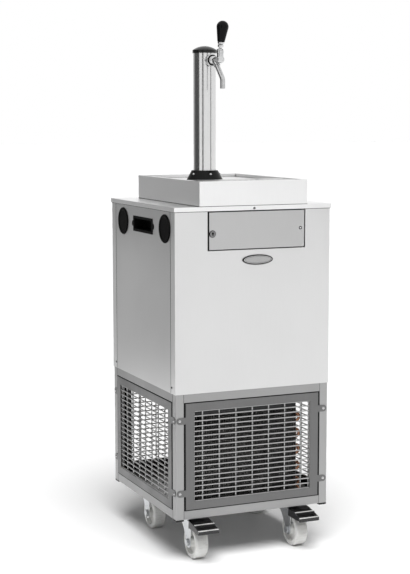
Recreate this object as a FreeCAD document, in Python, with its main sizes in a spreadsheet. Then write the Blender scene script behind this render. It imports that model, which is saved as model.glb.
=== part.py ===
import FreeCAD, Part
import math
import os
import Sketcher

# Mobile beer cooler with one tap: a square-tube machine frame on four casters,
# a sheet-metal case over it, a raised drip top and a tower with a lever tap.
# Millimetres. X runs to the right, Y to the back and Z up from the floor.

doc = FreeCAD.newDocument("jockey_box_cooler")
sheet = doc.addObject("Spreadsheet::Sheet", "sizes")


class Size:
    """A length or an angle, with its value and the sheet formula that gives it."""

    def __init__(self, value, formula):
        self.value = float(value)
        self.formula = formula

    def __add__(self, other):
        other = as_size(other)
        return Size(self.value + other.value, f"({self.formula} + {other.formula})")

    def __radd__(self, other):
        return as_size(other) + self

    def __sub__(self, other):
        other = as_size(other)
        return Size(self.value - other.value, f"({self.formula} - {other.formula})")

    def __rsub__(self, other):
        return as_size(other) - self

    def __mul__(self, other):
        other = as_size(other)
        return Size(self.value * other.value, f"({self.formula} * {other.formula})")

    def __rmul__(self, other):
        return self * other

    def __truediv__(self, other):
        other = as_size(other)
        return Size(self.value / other.value, f"({self.formula} / {other.formula})")

    def __neg__(self):
        return Size(-self.value, f"(0 - {self.formula})")


def as_size(value):
    """Read a plain number as a size."""
    if isinstance(value, Size):
        return value
    return Size(value, f"({float(value)!r})")


def root(size):
    """Give the square root of a size."""
    return Size(math.sqrt(size.value), f"sqrt({size.formula})")


def cosine(angle):
    """Give the cosine of an angle in degrees."""
    return Size(math.cos(math.radians(angle.value)), f"cos({angle.formula})")


def sine(angle):
    """Give the sine of an angle in degrees."""
    return Size(math.sin(math.radians(angle.value)), f"sin({angle.formula})")


ZERO = Size(0.0, "0")

SIZES = {
    # base frame of square tube, standing on the casters
    "frame_width": 498.0,
    "frame_depth": 528.0,
    "frame_height": 375.0,
    "tube_width": 25.0,
    "tube_wall": 1.5,
    "fit_gap": 0.2,
    "floor_clearance": 135.0,
    "cap_drop": 6.0,
    "cap_plug": 14.0,
    "cap_round": 2.5,
    "base_sheet": 3.0,
    # grille panels with a rod mesh behind a sheet border
    "grille_side_gap": 6.0,
    "grille_end_gap": 3.0,
    "grille_sheet": 1.5,
    "grille_side_border": 27.0,
    "grille_end_border": 24.0,
    "rod_diameter": 4.0,
    "rod_gap": 0.05,
    "rod_overlap": 9.0,
    "rod_pitch_across": 54.0,
    "rod_pitch_up": 15.0,
    "tab_radius": 10.0,
    "tab_spacing": 218.0,
    "screw_diameter": 5.0,
    "screw_clearance": 0.4,
    "screw_head_diameter": 9.5,
    "screw_head_height": 2.8,
    "screw_length": 12.0,
    # casters
    "caster_inset_across": 83.0,
    "caster_inset_deep": 94.0,
    "caster_plate_width": 100.0,
    "caster_plate_depth": 85.0,
    "caster_plate_thickness": 3.0,
    "caster_plate_round": 8.0,
    "bolt_spacing_across": 80.0,
    "bolt_spacing_deep": 60.0,
    "bolt_diameter": 8.0,
    "bolt_clearance": 0.5,
    "bolt_head_across": 13.0,
    "bolt_head_height": 5.3,
    "race_radius": 33.0,
    "race_lower_radius": 28.0,
    "race_height": 9.0,
    "race_gap": 0.3,
    "crown_thickness": 3.0,
    "crown_radius": 35.0,
    "kingpin_diameter": 12.0,
    "kingpin_head_diameter": 22.0,
    "kingpin_head_height": 4.0,
    "running_gap": 0.1,
    "wheel_diameter": 100.0,
    "wheel_width": 40.0,
    "wheel_hub_width": 45.0,
    "wheel_hub_diameter": 34.0,
    "wheel_web": 16.0,
    "wheel_rim_inner_diameter": 74.0,
    "wheel_tread_round": 6.0,
    "wheel_offset": 48.0,
    "leg_thickness": 2.5,
    "leg_side_gap": 1.0,
    "leg_boss_radius": 17.0,
    "leg_front_reach": 9.0,
    "axle_diameter": 12.0,
    "axle_nut_across": 19.0,
    "axle_nut_height": 7.0,
    "rear_right_swing": 50.0,
    # brake pedals of the front casters
    "pedal_width": 66.0,
    "pedal_sheet": 2.5,
    "pedal_pivot_reach": 14.0,
    "pedal_pivot_rise": 54.0,
    "pedal_pin_diameter": 6.0,
    "pedal_back_rise": 16.5,
    "pedal_length": 82.0,
    "pedal_drop": 15.0,
    "pedal_lip": 8.0,
    "pedal_flange_depth": 24.0,
    "pedal_flange_length": 44.0,
    "pedal_rib_height": 2.0,
    "pedal_rib_width": 5.0,
    "shoe_reach": 15.0,
    "shoe_thickness": 5.0,
    "shoe_width": 26.0,
    "shoe_gap": 5.2,
    # sheet-metal case
    "case_overhang": 2.0,
    "case_height": 533.0,
    "case_sheet": 1.2,
    "case_return": 35.0,
    "case_seam": 0.5,
    "case_flange": 20.0,
    "joggle_gap": 0.3,
    "joggle_width": 15.0,
    "case_screw_rise": 18.0,
    "case_screw_inset": 27.0,
    "case_screw_diameter": 4.0,
    "case_screw_head": 8.0,
    "case_screw_head_height": 2.0,
    "case_screw_length": 7.0,
    # lid and raised drip top
    "lid_overhang": 3.0,
    "lid_sheet": 1.5,
    "lid_lip": 13.0,
    "lid_gap": 0.3,
    "riser_width": 348.0,
    "riser_depth": 497.0,
    "riser_height": 73.0,
    "riser_sheet": 1.5,
    "riser_recess": 10.0,
    "riser_hem": 12.0,
    "grid_sheet": 1.5,
    "grid_gap": 2.0,
    "grid_back_gap": 14.0,
    "slot_length": 58.0,
    "slot_width": 5.0,
    "slot_pitch": 17.0,
    "slot_count": 17.0,
    "finger_hole_diameter": 30.0,
    "finger_hole_right": 42.0,
    # access door in the front, with its pivots and lock
    "door_left_margin": 102.5,
    "door_right_margin": 81.0,
    "door_opening_height": 112.0,
    "door_below_lid": 2.4,
    "door_sheet": 1.2,
    "door_return": 11.0,
    "door_left_gap": 3.5,
    "door_right_gap": 2.5,
    "door_end_gap": 1.5,
    "pivot_inset": 4.2,
    "pivot_pin_diameter": 5.0,
    "pivot_arm_reach": 14.0,
    "pivot_arm_width": 30.0,
    "pivot_arm_sheet": 2.0,
    "pivot_leg": 18.0,
    "pivot_drop": 5.0,
    "lock_from_edge": 14.0,
    "lock_rise": 48.0,
    "lock_diameter": 14.0,
    "lock_head_diameter": 19.0,
    "lock_head_height": 2.5,
    "lock_slot_width": 2.5,
    "cam_gap": 0.8,
    "cam_thickness": 2.0,
    "cam_width": 12.0,
    "cam_reach": 24.0,
    "stop_flange_depth": 12.0,
    # control niche behind the door
    "niche_depth": 56.0,
    "niche_side": 17.0,
    "niche_left_margin": 18.0,
    "niche_right_margin": 18.0,
    "niche_end_margin": 1.4,
    "dial_diameter": 38.0,
    "dial_height": 18.0,
    "dial_shaft_diameter": 6.0,
    "dial_shaft_length": 14.0,
    "thermostat_width": 44.0,
    "thermostat_depth": 30.0,
    # side plugs and handles
    "plug_diameter": 84.0,
    "plug_hole_diameter": 77.0,
    "plug_fit": 0.3,
    "plug_rim_height": 3.5,
    "plug_depth": 14.0,
    "plug_wall": 3.0,
    "plug_dish": 1.8,
    "plug_ring": 7.0,
    "plug_front_inset": 77.0,
    "plug_back_inset": 104.0,
    "plug_below_case_top": 64.0,
    "handle_width": 162.0,
    "handle_ear_reach": 10.0,
    "handle_ear_radius": 8.5,
    "handle_height": 47.0,
    "handle_centre_forward": 10.0,
    "handle_below_case_top": 65.0,
    "handle_lip": 5.0,
    "handle_hole_clearance": 2.3,
    "handle_wall": 2.0,
    "handle_depth": 32.0,
    "handle_rim": 1.5,
    "handle_round": 6.0,
    # badge plate, left bare
    "badge_width": 96.0,
    "badge_height": 28.0,
    "badge_thickness": 2.5,
    "badge_right": 12.0,
    "badge_below_door": 32.0,
    # tap tower
    "tower_left": 67.0,
    "tower_forward": 57.0,
    "column_diameter": 68.0,
    "column_wall": 1.5,
    "column_height": 394.0,
    "flange_diameter": 112.0,
    "flange_top_diameter": 80.0,
    "flange_height": 34.0,
    "flange_rim": 4.0,
    "flange_fit": 0.05,
    "flange_screw_circle": 88.0,
    "flange_screw_count": 5.0,
    "flange_screw_head": 9.0,
    "flange_screw_diameter": 5.0,
    "tower_cap_diameter": 73.0,
    "tower_cap_skirt": 9.0,
    "tower_cap_dome": 12.0,
    "tower_cap_plug": 20.0,
    "tower_cap_wall": 2.5,
    # tap
    "tap_below_column_top": 32.0,
    "shank_diameter": 16.0,
    "shank_bore": 8.0,
    "shank_tail": 14.0,
    "collar_diameter": 36.0,
    "collar_length": 26.0,
    "collar_neck_diameter": 27.0,
    "collar_ring_length": 8.0,
    "collar_lip": 3.5,
    "collar_dish": 3.5,
    "tap_diameter": 22.0,
    "tap_length": 66.0,
    "tap_nose": 5.0,
    "tap_nut_diameter": 24.0,
    "tap_nut_rib": 2.4,
    "tap_nut_groove": 1.0,
    "tap_neck_diameter": 17.0,
    "tap_front_length": 24.0,
    "ball_forward": 115.0,
    "ball_radius": 8.0,
    "ball_rise": 27.0,
    "ball_gap": 0.3,
    "bonnet_diameter": 20.0,
    "bonnet_ring_diameter": 22.0,
    "bonnet_ring_height": 7.0,
    "bonnet_above_ball": 2.5,
    "lever_tilt": 15.0,
    "stem_diameter": 9.0,
    "stem_length": 25.5,
    "ferrule_foot_diameter": 16.0,
    "ferrule_diameter": 20.0,
    "ferrule_length": 16.0,
    "ferrule_groove": 1.5,
    "stem_thread_length": 22.0,
    "knob_length": 61.0,
    "knob_diameter": 35.5,
    "knob_foot_diameter": 22.0,
    "lever_slot_width": 10.0,
    "spout_diameter": 15.0,
    "spout_bore": 11.0,
    "spout_from_tower": 76.6,
    "spout_socket_diameter": 19.0,
    "spout_socket_length": 24.0,
    "spout_socket_depth": 6.0,
    "spout_reach": 57.0,
    "spout_bend_radius": 18.0,
    "spout_below_tap": 85.0,
    # water bath with its coils and agitator
    "bath_flange_gap": 0.8,
    "bath_height": 402.0,
    "bath_wall": 40.0,
    "bath_cover": 10.0,
    "liner_sheet": 1.0,
    "evaporator_gap": 12.0,
    "evaporator_height": 220.0,
    "evaporator_round": 60.0,
    "beer_coil_gap": 38.0,
    "beer_coil_height": 270.0,
    "beer_coil_round": 45.0,
    "coil_tube": 9.5,
    "agitator_right": 60.0,
    "agitator_back": 60.0,
    "agitator_motor_diameter": 82.0,
    "agitator_motor_height": 75.0,
    "agitator_shaft_diameter": 8.0,
    "agitator_shaft_length": 300.0,
    "agitator_shaft_entry": 18.0,
    "agitator_blade_reach": 32.0,
    "agitator_blade_height": 14.0,
    "agitator_blade_thickness": 2.0,
    "line_hole_radius": 14.0,
    # refrigeration set in the machine bay
    "compressor_diameter": 158.0,
    "compressor_height": 205.0,
    "compressor_right": 92.0,
    "compressor_back": 70.0,
    "compressor_foot_height": 18.0,
    "compressor_foot_width": 24.0,
    "condenser_left_margin": 43.0,
    "condenser_right_margin": 86.0,
    "condenser_height": 285.0,
    "condenser_thickness": 46.0,
    "condenser_inset": 38.0,
    "condenser_lift": 8.0,
    "fin_count": 48.0,
    "fin_thickness": 1.0,
    "fin_overhang": 14.0,
    "fan_end_margin": 25.0,
    "fan_tip_gap": 4.0,
    "fan_ring_depth": 34.0,
    "fan_sheet": 1.5,
    "fan_hub_diameter": 62.0,
    "fan_hub_depth": 24.0,
    "fan_blade_count": 5.0,
    "fan_blade_thickness": 1.6,
    "fan_blade_root": 34.0,
    "fan_blade_tip": 84.0,
    "fan_motor_diameter": 84.0,
    "fan_motor_length": 58.0,
    "fan_shaft_diameter": 8.0,
    "fan_arm_width": 16.0,
    # fittings through the back
    "gland_diameter": 22.0,
    "gland_hole_diameter": 16.0,
    "gland_length": 20.0,
    "inlet_diameter": 19.0,
    "inlet_length": 24.0,
    "fitting_spacing": 90.0,
    "fitting_rise": 60.0,
    # one overrun serves all cuts
    "overrun": 1.0,
}


class Sheet:
    """The driving sizes, read by name."""

    def __init__(self, values):
        for row, (name, value) in enumerate(values.items(), start=1):
            sheet.set(f"A{row}", name)
            sheet.set(f"B{row}", str(value))
            sheet.setAlias(f"B{row}", name)
            setattr(self, name, Size(value, f"sizes.{name}"))


s = Sheet(SIZES)
doc.recompute()

nodes = []
UPWARD = FreeCAD.Vector(0, 0, 1)


# helpers for binding, sketches and features

def bind(thing, prop, size):
    """Set a property from a size and tie it to the sheet."""
    size = as_size(size)
    thing.setExpression(prop, size.formula)


def add_body(name):
    """Start a sub-part that is built from sketches."""
    return doc.addObject("PartDesign::Body", name)


def sketch_on(body, role, offset=None):
    """Attach a new sketch to one of the body's own origin planes."""
    sketch = body.newObject("Sketcher::SketchObject", f"{body.Name}_sketch")
    plane = next(part for part in body.Origin.OriginFeatures if part.Role == role)
    sketch.AttachmentSupport = [(plane, "")]
    sketch.MapMode = "FlatFace"
    if offset is not None:
        bind(sketch, "AttachmentOffset.Base.z", offset)
    return sketch


def tie_point(sketch, geometry, position, point):
    """Hold one point of the sketch at its named distances from the origin."""
    for kind, size in (("DistanceX", point[0]), ("DistanceY", point[1])):
        size = as_size(size)
        index = sketch.addConstraint(Sketcher.Constraint(kind, -1, 1, geometry, position, size.value))
        bind(sketch, f"Constraints[{index}]", size)


class Via:
    """A point that the arc between its two neighbours passes through."""

    def __init__(self, across, up):
        self.point = (as_size(across), as_size(up))


def flat(point):
    """Give a sketch point as a vector."""
    return FreeCAD.Vector(as_size(point[0]).value, as_size(point[1]).value, 0)


def draw_loop(sketch, outline):
    """Draw a closed outline of lines, and of arcs where a Via stands between two corners."""
    corners = [item for item in outline if not isinstance(item, Via)]
    count = len(outline)
    edges = []
    vias = []
    for place, item in enumerate(outline):
        if isinstance(item, Via):
            continue
        following = outline[(place + 1) % count]
        if isinstance(following, Via):
            end = outline[(place + 2) % count]
            shape = Part.Arc(flat(item), flat(following.point), flat(end))
        else:
            end = following
            shape = Part.LineSegment(flat(item), flat(end))
        edge = sketch.addGeometry(shape)
        if isinstance(following, Via):
            vias.append((edge, following.point))
        turned = (sketch.getPoint(edge, 1) - flat(item)).Length > (sketch.getPoint(edge, 2) - flat(item)).Length
        edges.append((edge, 2, 1) if turned else (edge, 1, 2))
    for (edge, _, last), (next_edge, first, _) in zip(edges, edges[1:] + edges[:1]):
        sketch.addConstraint(Sketcher.Constraint("Coincident", edge, last, next_edge, first))
    for (edge, first, _), corner in zip(edges, corners):
        tie_point(sketch, edge, first, corner)
    for edge, point in vias:
        hold_arc(sketch, edge, point)


def hold_arc(sketch, edge, point):
    """Fix an arc's bulge by a construction point that lies on it."""
    marker = sketch.addGeometry(Part.Point(flat(point)), True)
    tie_point(sketch, marker, 1, point)
    sketch.addConstraint(Sketcher.Constraint("PointOnObject", marker, 1, edge))


def dome_via(radius, foot, height):
    """Give the halfway point of a dome whose centre lies on the axis."""
    ball = (radius * radius + height * height) / (2 * height)
    return Via(radius / 2, foot + height - ball + root(ball * ball - radius * radius / 4))


def draw_box(sketch, left, bottom, right, top):
    """Draw a rectangle from its four sides."""
    draw_loop(sketch, [(left, bottom), (right, bottom), (right, top), (left, top)])


def draw_circle(sketch, across, up, radius):
    """Draw a circle held by its centre and radius."""
    radius = as_size(radius)
    centre = flat((across, up))
    circle = sketch.addGeometry(Part.Circle(centre, FreeCAD.Vector(0, 0, 1), radius.value))
    tie_point(sketch, circle, 3, (across, up))
    index = sketch.addConstraint(Sketcher.Constraint("Radius", circle, radius.value))
    bind(sketch, f"Constraints[{index}]", radius)


def draw_slot(sketch, across, up, length, width):
    """Draw an upright slot with round ends."""
    half = width / 2
    reach = length / 2 - half
    draw_loop(sketch, [(across - half, up - reach), Via(across, up - reach - half),
                       (across + half, up - reach), (across + half, up + reach),
                       Via(across, up + reach + half), (across - half, up + reach)])


def rounded_box(left, bottom, right, top, radius):
    """Give the outline of a rectangle with round corners."""
    slack = radius * (1 - math.sqrt(0.5))
    return [(left + radius, bottom), (right - radius, bottom), Via(right - slack, bottom + slack),
            (right, bottom + radius), (right, top - radius), Via(right - slack, top - slack),
            (right - radius, top), (left + radius, top), Via(left + slack, top - slack),
            (left, top - radius), (left, bottom + radius), Via(left + slack, bottom + slack)]


def pad(body, sketch, length, reversed_way=False, both_ways=False):
    """Pad a sketch by a named length."""
    feature = body.newObject("PartDesign::Pad", f"{body.Name}_pad")
    feature.Profile = sketch
    bind(feature, "Length", length)
    feature.Reversed = reversed_way
    if both_ways:
        feature.SideType = "Symmetric"
    sketch.Visibility = False
    return feature


def pocket(body, sketch, length, reversed_way=False, both_ways=False):
    """Cut a sketch into the body by a named length and make sure that it removes something."""
    doc.recompute()
    before = body.Shape.Volume
    feature = body.newObject("PartDesign::Pocket", f"{body.Name}_pocket")
    feature.Profile = sketch
    bind(feature, "Length", length)
    feature.Reversed = reversed_way
    if both_ways:
        feature.SideType = "Symmetric"
    doc.recompute()
    if body.Shape.Volume >= before:
        raise RuntimeError(f"a pocket in {body.Name} removes nothing")
    return feature


def repeat(body, feature, sketch, axis, length, count):
    """Repeat a feature evenly along one of its sketch's axes, over a named length."""
    pattern = body.newObject("PartDesign::LinearPattern", f"{body.Name}_pattern")
    pattern.Originals = [feature]
    pattern.Direction = (sketch, [axis])
    bind(pattern, "Length", length)
    bind(pattern, "Occurrences", count)
    body.Tip = pattern
    return pattern


def revolve(body, sketch, axis):
    """Turn a sketch once round its own H_Axis or V_Axis."""
    feature = body.newObject("PartDesign::Revolution", f"{body.Name}_revolution")
    feature.Profile = sketch
    feature.ReferenceAxis = (sketch, [axis])
    feature.Angle = 360
    return feature


def edges_where(shape, test):
    """Name the edges whose centre and vertices pass a test."""
    return [f"Edge{number}" for number, edge in enumerate(shape.Edges, start=1) if test(edge)]


def fillet(body, test, radius):
    """Round the body's edges that pass a test."""
    doc.recompute()
    base = body.Tip
    names = edges_where(base.Shape, test)
    if not names:
        raise RuntimeError(f"no edge of {body.Name} takes the fillet")
    feature = body.newObject("PartDesign::Fillet", f"{body.Name}_fillet")
    feature.Base = (base, names)
    bind(feature, "Radius", radius)
    return feature


def lies_at(edge, axis, size):
    """Say whether a whole edge lies at one height along an axis."""
    level = as_size(size).value
    return all(abs(getattr(vertex.Point, axis) - level) < 1e-6 for vertex in edge.Vertexes)


def runs_along(edge, axis):
    """Say whether a straight edge runs along an axis."""
    if len(edge.Vertexes) < 2 or not isinstance(edge.Curve, Part.Line):
        return False
    return abs(abs(getattr(edge.Curve.Direction, axis)) - 1) < 1e-9


def add_cylinder(name, radius, length, base, direction="z"):
    """Add a cylinder by its foot, radius and length, along one axis."""
    cylinder = doc.addObject("Part::Cylinder", name)
    bind(cylinder, "Radius", radius)
    bind(cylinder, "Height", length)
    turns = {"x": (FreeCAD.Vector(0, 1, 0), 90), "y": (FreeCAD.Vector(1, 0, 0), -90), "z": (FreeCAD.Vector(0, 0, 1), 0)}
    axis, angle = turns[direction]
    cylinder.Placement = FreeCAD.Placement(FreeCAD.Vector(0, 0, 0), FreeCAD.Rotation(axis, angle))
    for letter, size in zip("xyz", base):
        bind(cylinder, f"Placement.Base.{letter}", size)
    return cylinder


def add_block(name, low, high):
    """Add a box from its low corner to its high corner."""
    block = doc.addObject("Part::Box", name)
    for prop, first, last in zip(("Length", "Width", "Height"), low, high):
        bind(block, prop, as_size(last) - first)
    for letter, size in zip("xyz", low):
        bind(block, f"Placement.Base.{letter}", size)
    return block


def cut(name, base, *tools):
    """Cut tools out of a base."""
    result = doc.addObject("Part::Cut", name)
    result.Base = base
    result.Tool = tools[0] if len(tools) == 1 else fuse(f"{name}_tools", *tools)
    return result


def fuse(name, *shapes):
    """Join shapes into one solid."""
    result = doc.addObject("Part::MultiFuse", name)
    result.Shapes = list(shapes)
    return result


def gather(name, *shapes):
    """Keep separate solids together in one sub-part."""
    result = doc.addObject("Part::Compound", name)
    result.Links = list(shapes)
    return result


def gather_copies(name, source, placements):
    """Repeat one fastener at several places, as separate solids."""
    doc.recompute()
    result = doc.addObject("Part::Feature", name)
    result.Shape = Part.makeCompound([source.Shape.transformed(place.toMatrix()) for place in placements])
    return result


def place_at(across, deep, up, axis=UPWARD, angle=0):
    """Give a placement from sizes and a turn."""
    base = FreeCAD.Vector(as_size(across).value, as_size(deep).value, as_size(up).value)
    return FreeCAD.Placement(base, FreeCAD.Rotation(axis, angle))


def publish(name, thing, across=ZERO, deep=ZERO, up=ZERO, axis=None, angle=None):
    """Label a finished sub-part and set it in its place in the cooler."""
    thing.Label = name
    if axis is not None:
        thing.Placement = FreeCAD.Placement(FreeCAD.Vector(0, 0, 0), FreeCAD.Rotation(axis, 0))
        turn = as_size(angle)
        thing.Placement = FreeCAD.Placement(FreeCAD.Vector(0, 0, 0), FreeCAD.Rotation(axis, turn.value))
    for letter, size in zip("xyz", (across, as_size(deep) + set_back, up)):
        bind(thing, f"Placement.Base.{letter}", size)
    nodes.append(thing)


# heights and half widths that several sub-parts share

half_width = s.frame_width / 2
half_depth = s.frame_depth / 2
frame_foot = s.floor_clearance
frame_top = frame_foot + s.frame_height
rail_top = frame_foot + s.tube_width
case_half_width = half_width + s.case_overhang
case_half_depth = half_depth + s.case_overhang
lip_foot = frame_top + s.case_height
lid_top = lip_foot + s.lid_lip
case_top = lid_top - s.lid_sheet - s.lid_gap
lid_half_width = case_half_width + s.lid_overhang
lid_half_depth = case_half_depth + s.lid_overhang
riser_top = lid_top + s.riser_height
riser_floor = riser_top - s.riser_recess
wheel_radius = s.wheel_diameter / 2
axle_height = wheel_radius
swivel_x = half_width - s.caster_inset_across
swivel_y = half_depth - s.caster_inset_deep

# the origin lies under the middle of the whole outline, from the pedal tips to the fittings at the back
pedal_tip = swivel_y + s.wheel_offset + s.pedal_pivot_reach + s.pedal_length
back_reach = case_half_depth + s.inlet_length
set_back = (pedal_tip - back_reach) / 2


# base frame

def square_ring(sketch, across, up):
    """Draw a tube's section round a centre."""
    for half in (s.tube_width / 2, s.tube_width / 2 - s.tube_wall):
        draw_box(sketch, across - half, up - half, across + half, up + half)


def make_corner_posts():
    """Four upright square tubes, drilled and threaded for the grille screws."""
    body = add_body("corner_posts")
    post_x = half_width - s.tube_width / 2
    post_y = half_depth - s.tube_width / 2
    section = sketch_on(body, "XY_Plane", frame_foot)
    for side in (-1, 1):
        for end in (-1, 1):
            square_ring(section, side * post_x, end * post_y)
    pad(body, section, s.frame_height)
    for role, reach, across in (("XZ_Plane", half_depth, post_x), ("YZ_Plane", half_width, post_y)):
        for facing in (-1, 1):
            holes = sketch_on(body, role, facing * reach)
            for side in (-1, 1):
                for level in tab_heights():
                    draw_circle(holes, side * across, level, s.screw_diameter / 2 + s.screw_clearance)
            pocket(body, holes, 2 * (s.tube_wall + s.overrun), both_ways=True)
    publish("corner_posts", body)


def tab_heights():
    """Heights of the grille tabs and their screws."""
    middle = frame_foot + s.frame_height / 2
    return [middle - s.tab_spacing / 2, middle + s.tab_spacing / 2]


def make_frame_rails():
    """Eight square tubes between the posts, four at the foot and four at the top."""
    body = add_body("frame_rails")
    levels = (frame_foot + s.tube_width / 2, frame_top - s.tube_width / 2)
    across_rails = sketch_on(body, "YZ_Plane")
    for end in (-1, 1):
        for level in levels:
            square_ring(across_rails, end * (half_depth - s.tube_width / 2), level)
    pad(body, across_rails, s.frame_width - 2 * (s.tube_width + s.fit_gap), both_ways=True)
    deep_rails = sketch_on(body, "XZ_Plane")
    for side in (-1, 1):
        for level in levels:
            square_ring(deep_rails, side * (half_width - s.tube_width / 2), level)
    pad(body, deep_rails, s.frame_depth - 2 * (s.tube_width + s.fit_gap), both_ways=True)
    publish("frame_rails", body)


def make_post_end_caps():
    """Plastic caps pushed into the open feet of the posts."""
    body = add_body("post_end_caps")
    plug_half = s.tube_width / 2 - s.tube_wall - s.fit_gap
    outside = sketch_on(body, "XY_Plane", frame_foot)
    inside = sketch_on(body, "XY_Plane", frame_foot)
    for side in (-1, 1):
        for end in (-1, 1):
            middle_x = side * (half_width - s.tube_width / 2)
            middle_y = end * (half_depth - s.tube_width / 2)
            for sketch, half in ((outside, s.tube_width / 2), (inside, plug_half)):
                draw_box(sketch, middle_x - half, middle_y - half, middle_x + half, middle_y + half)
    pad(body, outside, s.cap_drop, reversed_way=True)
    pad(body, inside, s.cap_plug)
    foot = frame_foot - s.cap_drop
    fillet(body, lambda edge: lies_at(edge, "z", foot), s.cap_round)
    publish("post_end_caps", body)


def caster_places():
    """Name and centre of each caster."""
    return [("front_left", -swivel_x, -swivel_y), ("front_right", swivel_x, -swivel_y),
            ("rear_left", -swivel_x, swivel_y), ("rear_right", swivel_x, swivel_y)]


def bolt_places():
    """Centres of the four bolts round a swivel axis."""
    return [(side * s.bolt_spacing_across / 2, end * s.bolt_spacing_deep / 2) for side in (-1, 1) for end in (-1, 1)]


def make_base_plate():
    """Floor plate of the machine bay, between the lower rails, with the caster bolt holes."""
    body = add_body("base_plate")
    outline = sketch_on(body, "XY_Plane", frame_foot)
    plate_x = half_width - s.tube_width - s.fit_gap
    plate_y = half_depth - s.tube_width - s.fit_gap
    draw_box(outline, -plate_x, -plate_y, plate_x, plate_y)
    for _, centre_x, centre_y in caster_places():
        for bolt_x, bolt_y in bolt_places():
            draw_circle(outline, centre_x + bolt_x, centre_y + bolt_y, (s.bolt_diameter + s.bolt_clearance) / 2)
    pad(body, outline, s.base_sheet)
    publish("base_plate", body)


# grille panels

grille_height = s.frame_height - 2 * (s.tube_width + s.grille_end_gap)
grille_middle = frame_foot + s.frame_height / 2


def grille_outline(width, tab_reach):
    """Outline of a grille sheet with four round ears that lie over the posts."""
    half = width / 2
    low = grille_middle - grille_height / 2
    high = grille_middle + grille_height / 2
    radius = s.tab_radius
    right = [(half, low)]
    for level in tab_heights():
        right += [(half, level - radius), (tab_reach, level - radius), Via(tab_reach + radius, level),
                  (tab_reach, level + radius), (half, level + radius)]
    right.append((half, high))
    left = [(-half, high)]
    for level in reversed(tab_heights()):
        left += [(-half, level + radius), (-tab_reach, level + radius), Via(-tab_reach - radius, level),
                 (-tab_reach, level - radius), (-half, level - radius)]
    left.append((-half, low))
    return right + left


def make_grille(name, span, reach, turn):
    """A sheet border with a welded rod mesh behind its window."""
    width = span - 2 * (s.tube_width + s.grille_side_gap)
    tab_reach = span / 2 - s.tube_width / 2
    window_half = width / 2 - s.grille_side_border
    window_rise = grille_height / 2 - s.grille_end_border
    border = add_body(f"{name}_border")
    outline = sketch_on(border, "XZ_Plane", reach)
    draw_loop(outline, grille_outline(width, tab_reach))
    draw_box(outline, -window_half, grille_middle - window_rise, window_half, grille_middle + window_rise)
    for side in (-1, 1):
        for level in tab_heights():
            draw_circle(outline, side * tab_reach, level, s.screw_diameter / 2 + s.screw_clearance)
    pad(border, outline, s.grille_sheet)

    rod_radius = s.rod_diameter / 2
    front_layer = reach - s.rod_gap - rod_radius
    back_layer = front_layer - s.rod_diameter - s.rod_gap
    rows = int(window_rise.value // s.rod_pitch_up.value)
    across = add_body(f"{name}_across")
    ends = sketch_on(across, "YZ_Plane")
    for row in range(-rows, rows + 1):
        draw_circle(ends, -front_layer, grille_middle + row * s.rod_pitch_up, rod_radius)
    pad(across, ends, 2 * (window_half + s.rod_overlap), both_ways=True)

    columns = int((window_half.value - s.rod_diameter.value) // s.rod_pitch_across.value)
    upright = add_body(f"{name}_upright")
    feet = sketch_on(upright, "XY_Plane", grille_middle)
    edge_places = [-(window_half - rod_radius), window_half - rod_radius]
    for place in [column * s.rod_pitch_across for column in range(-columns, columns + 1)] + edge_places:
        draw_circle(feet, place, -back_layer, rod_radius)
    pad(upright, feet, 2 * (window_rise + s.rod_overlap), both_ways=True)
    grille = gather(name, border, across, upright)
    publish(name, grille, axis=UPWARD, angle=turn)


def screw_profile(name, diameter, head_diameter, head_height, length):
    """A domed screw along Z, its head's seat at zero and its shank below."""
    body = add_body(name)
    section = sketch_on(body, "XZ_Plane")
    rim = head_diameter / 2
    draw_loop(section, [(ZERO, -length), (diameter / 2, -length), (diameter / 2, ZERO), (rim, ZERO),
                        dome_via(rim, ZERO, head_height), (ZERO, head_height)])
    revolve(body, section, "V_Axis")
    return body


def make_grille_screws():
    """Sixteen domed screws through the grille ears into the posts."""
    screw = screw_profile("grille_screw", s.screw_diameter, s.screw_head_diameter, s.screw_head_height, s.screw_length)
    places = []
    face_y = half_depth + s.grille_sheet
    face_x = half_width + s.grille_sheet
    post_x = half_width - s.tube_width / 2
    post_y = half_depth - s.tube_width / 2
    for side in (-1, 1):
        for level in tab_heights():
            places.append(place_at(side * post_x, -face_y, level, FreeCAD.Vector(1, 0, 0), 90))
            places.append(place_at(side * post_x, face_y, level, FreeCAD.Vector(1, 0, 0), -90))
            places.append(place_at(-face_x, side * post_y, level, FreeCAD.Vector(0, 1, 0), -90))
            places.append(place_at(face_x, side * post_y, level, FreeCAD.Vector(0, 1, 0), 90))
    publish("grille_screws", gather_copies("grille_screws", screw, places))


# casters, each about its own swivel axis

plate_foot = frame_foot - s.caster_plate_thickness
race_foot = plate_foot - s.race_height
crown_top = race_foot - s.race_gap
crown_foot = crown_top - s.crown_thickness
leg_inner = s.wheel_hub_width / 2 + s.leg_side_gap
leg_outer = leg_inner + s.leg_thickness


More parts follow.
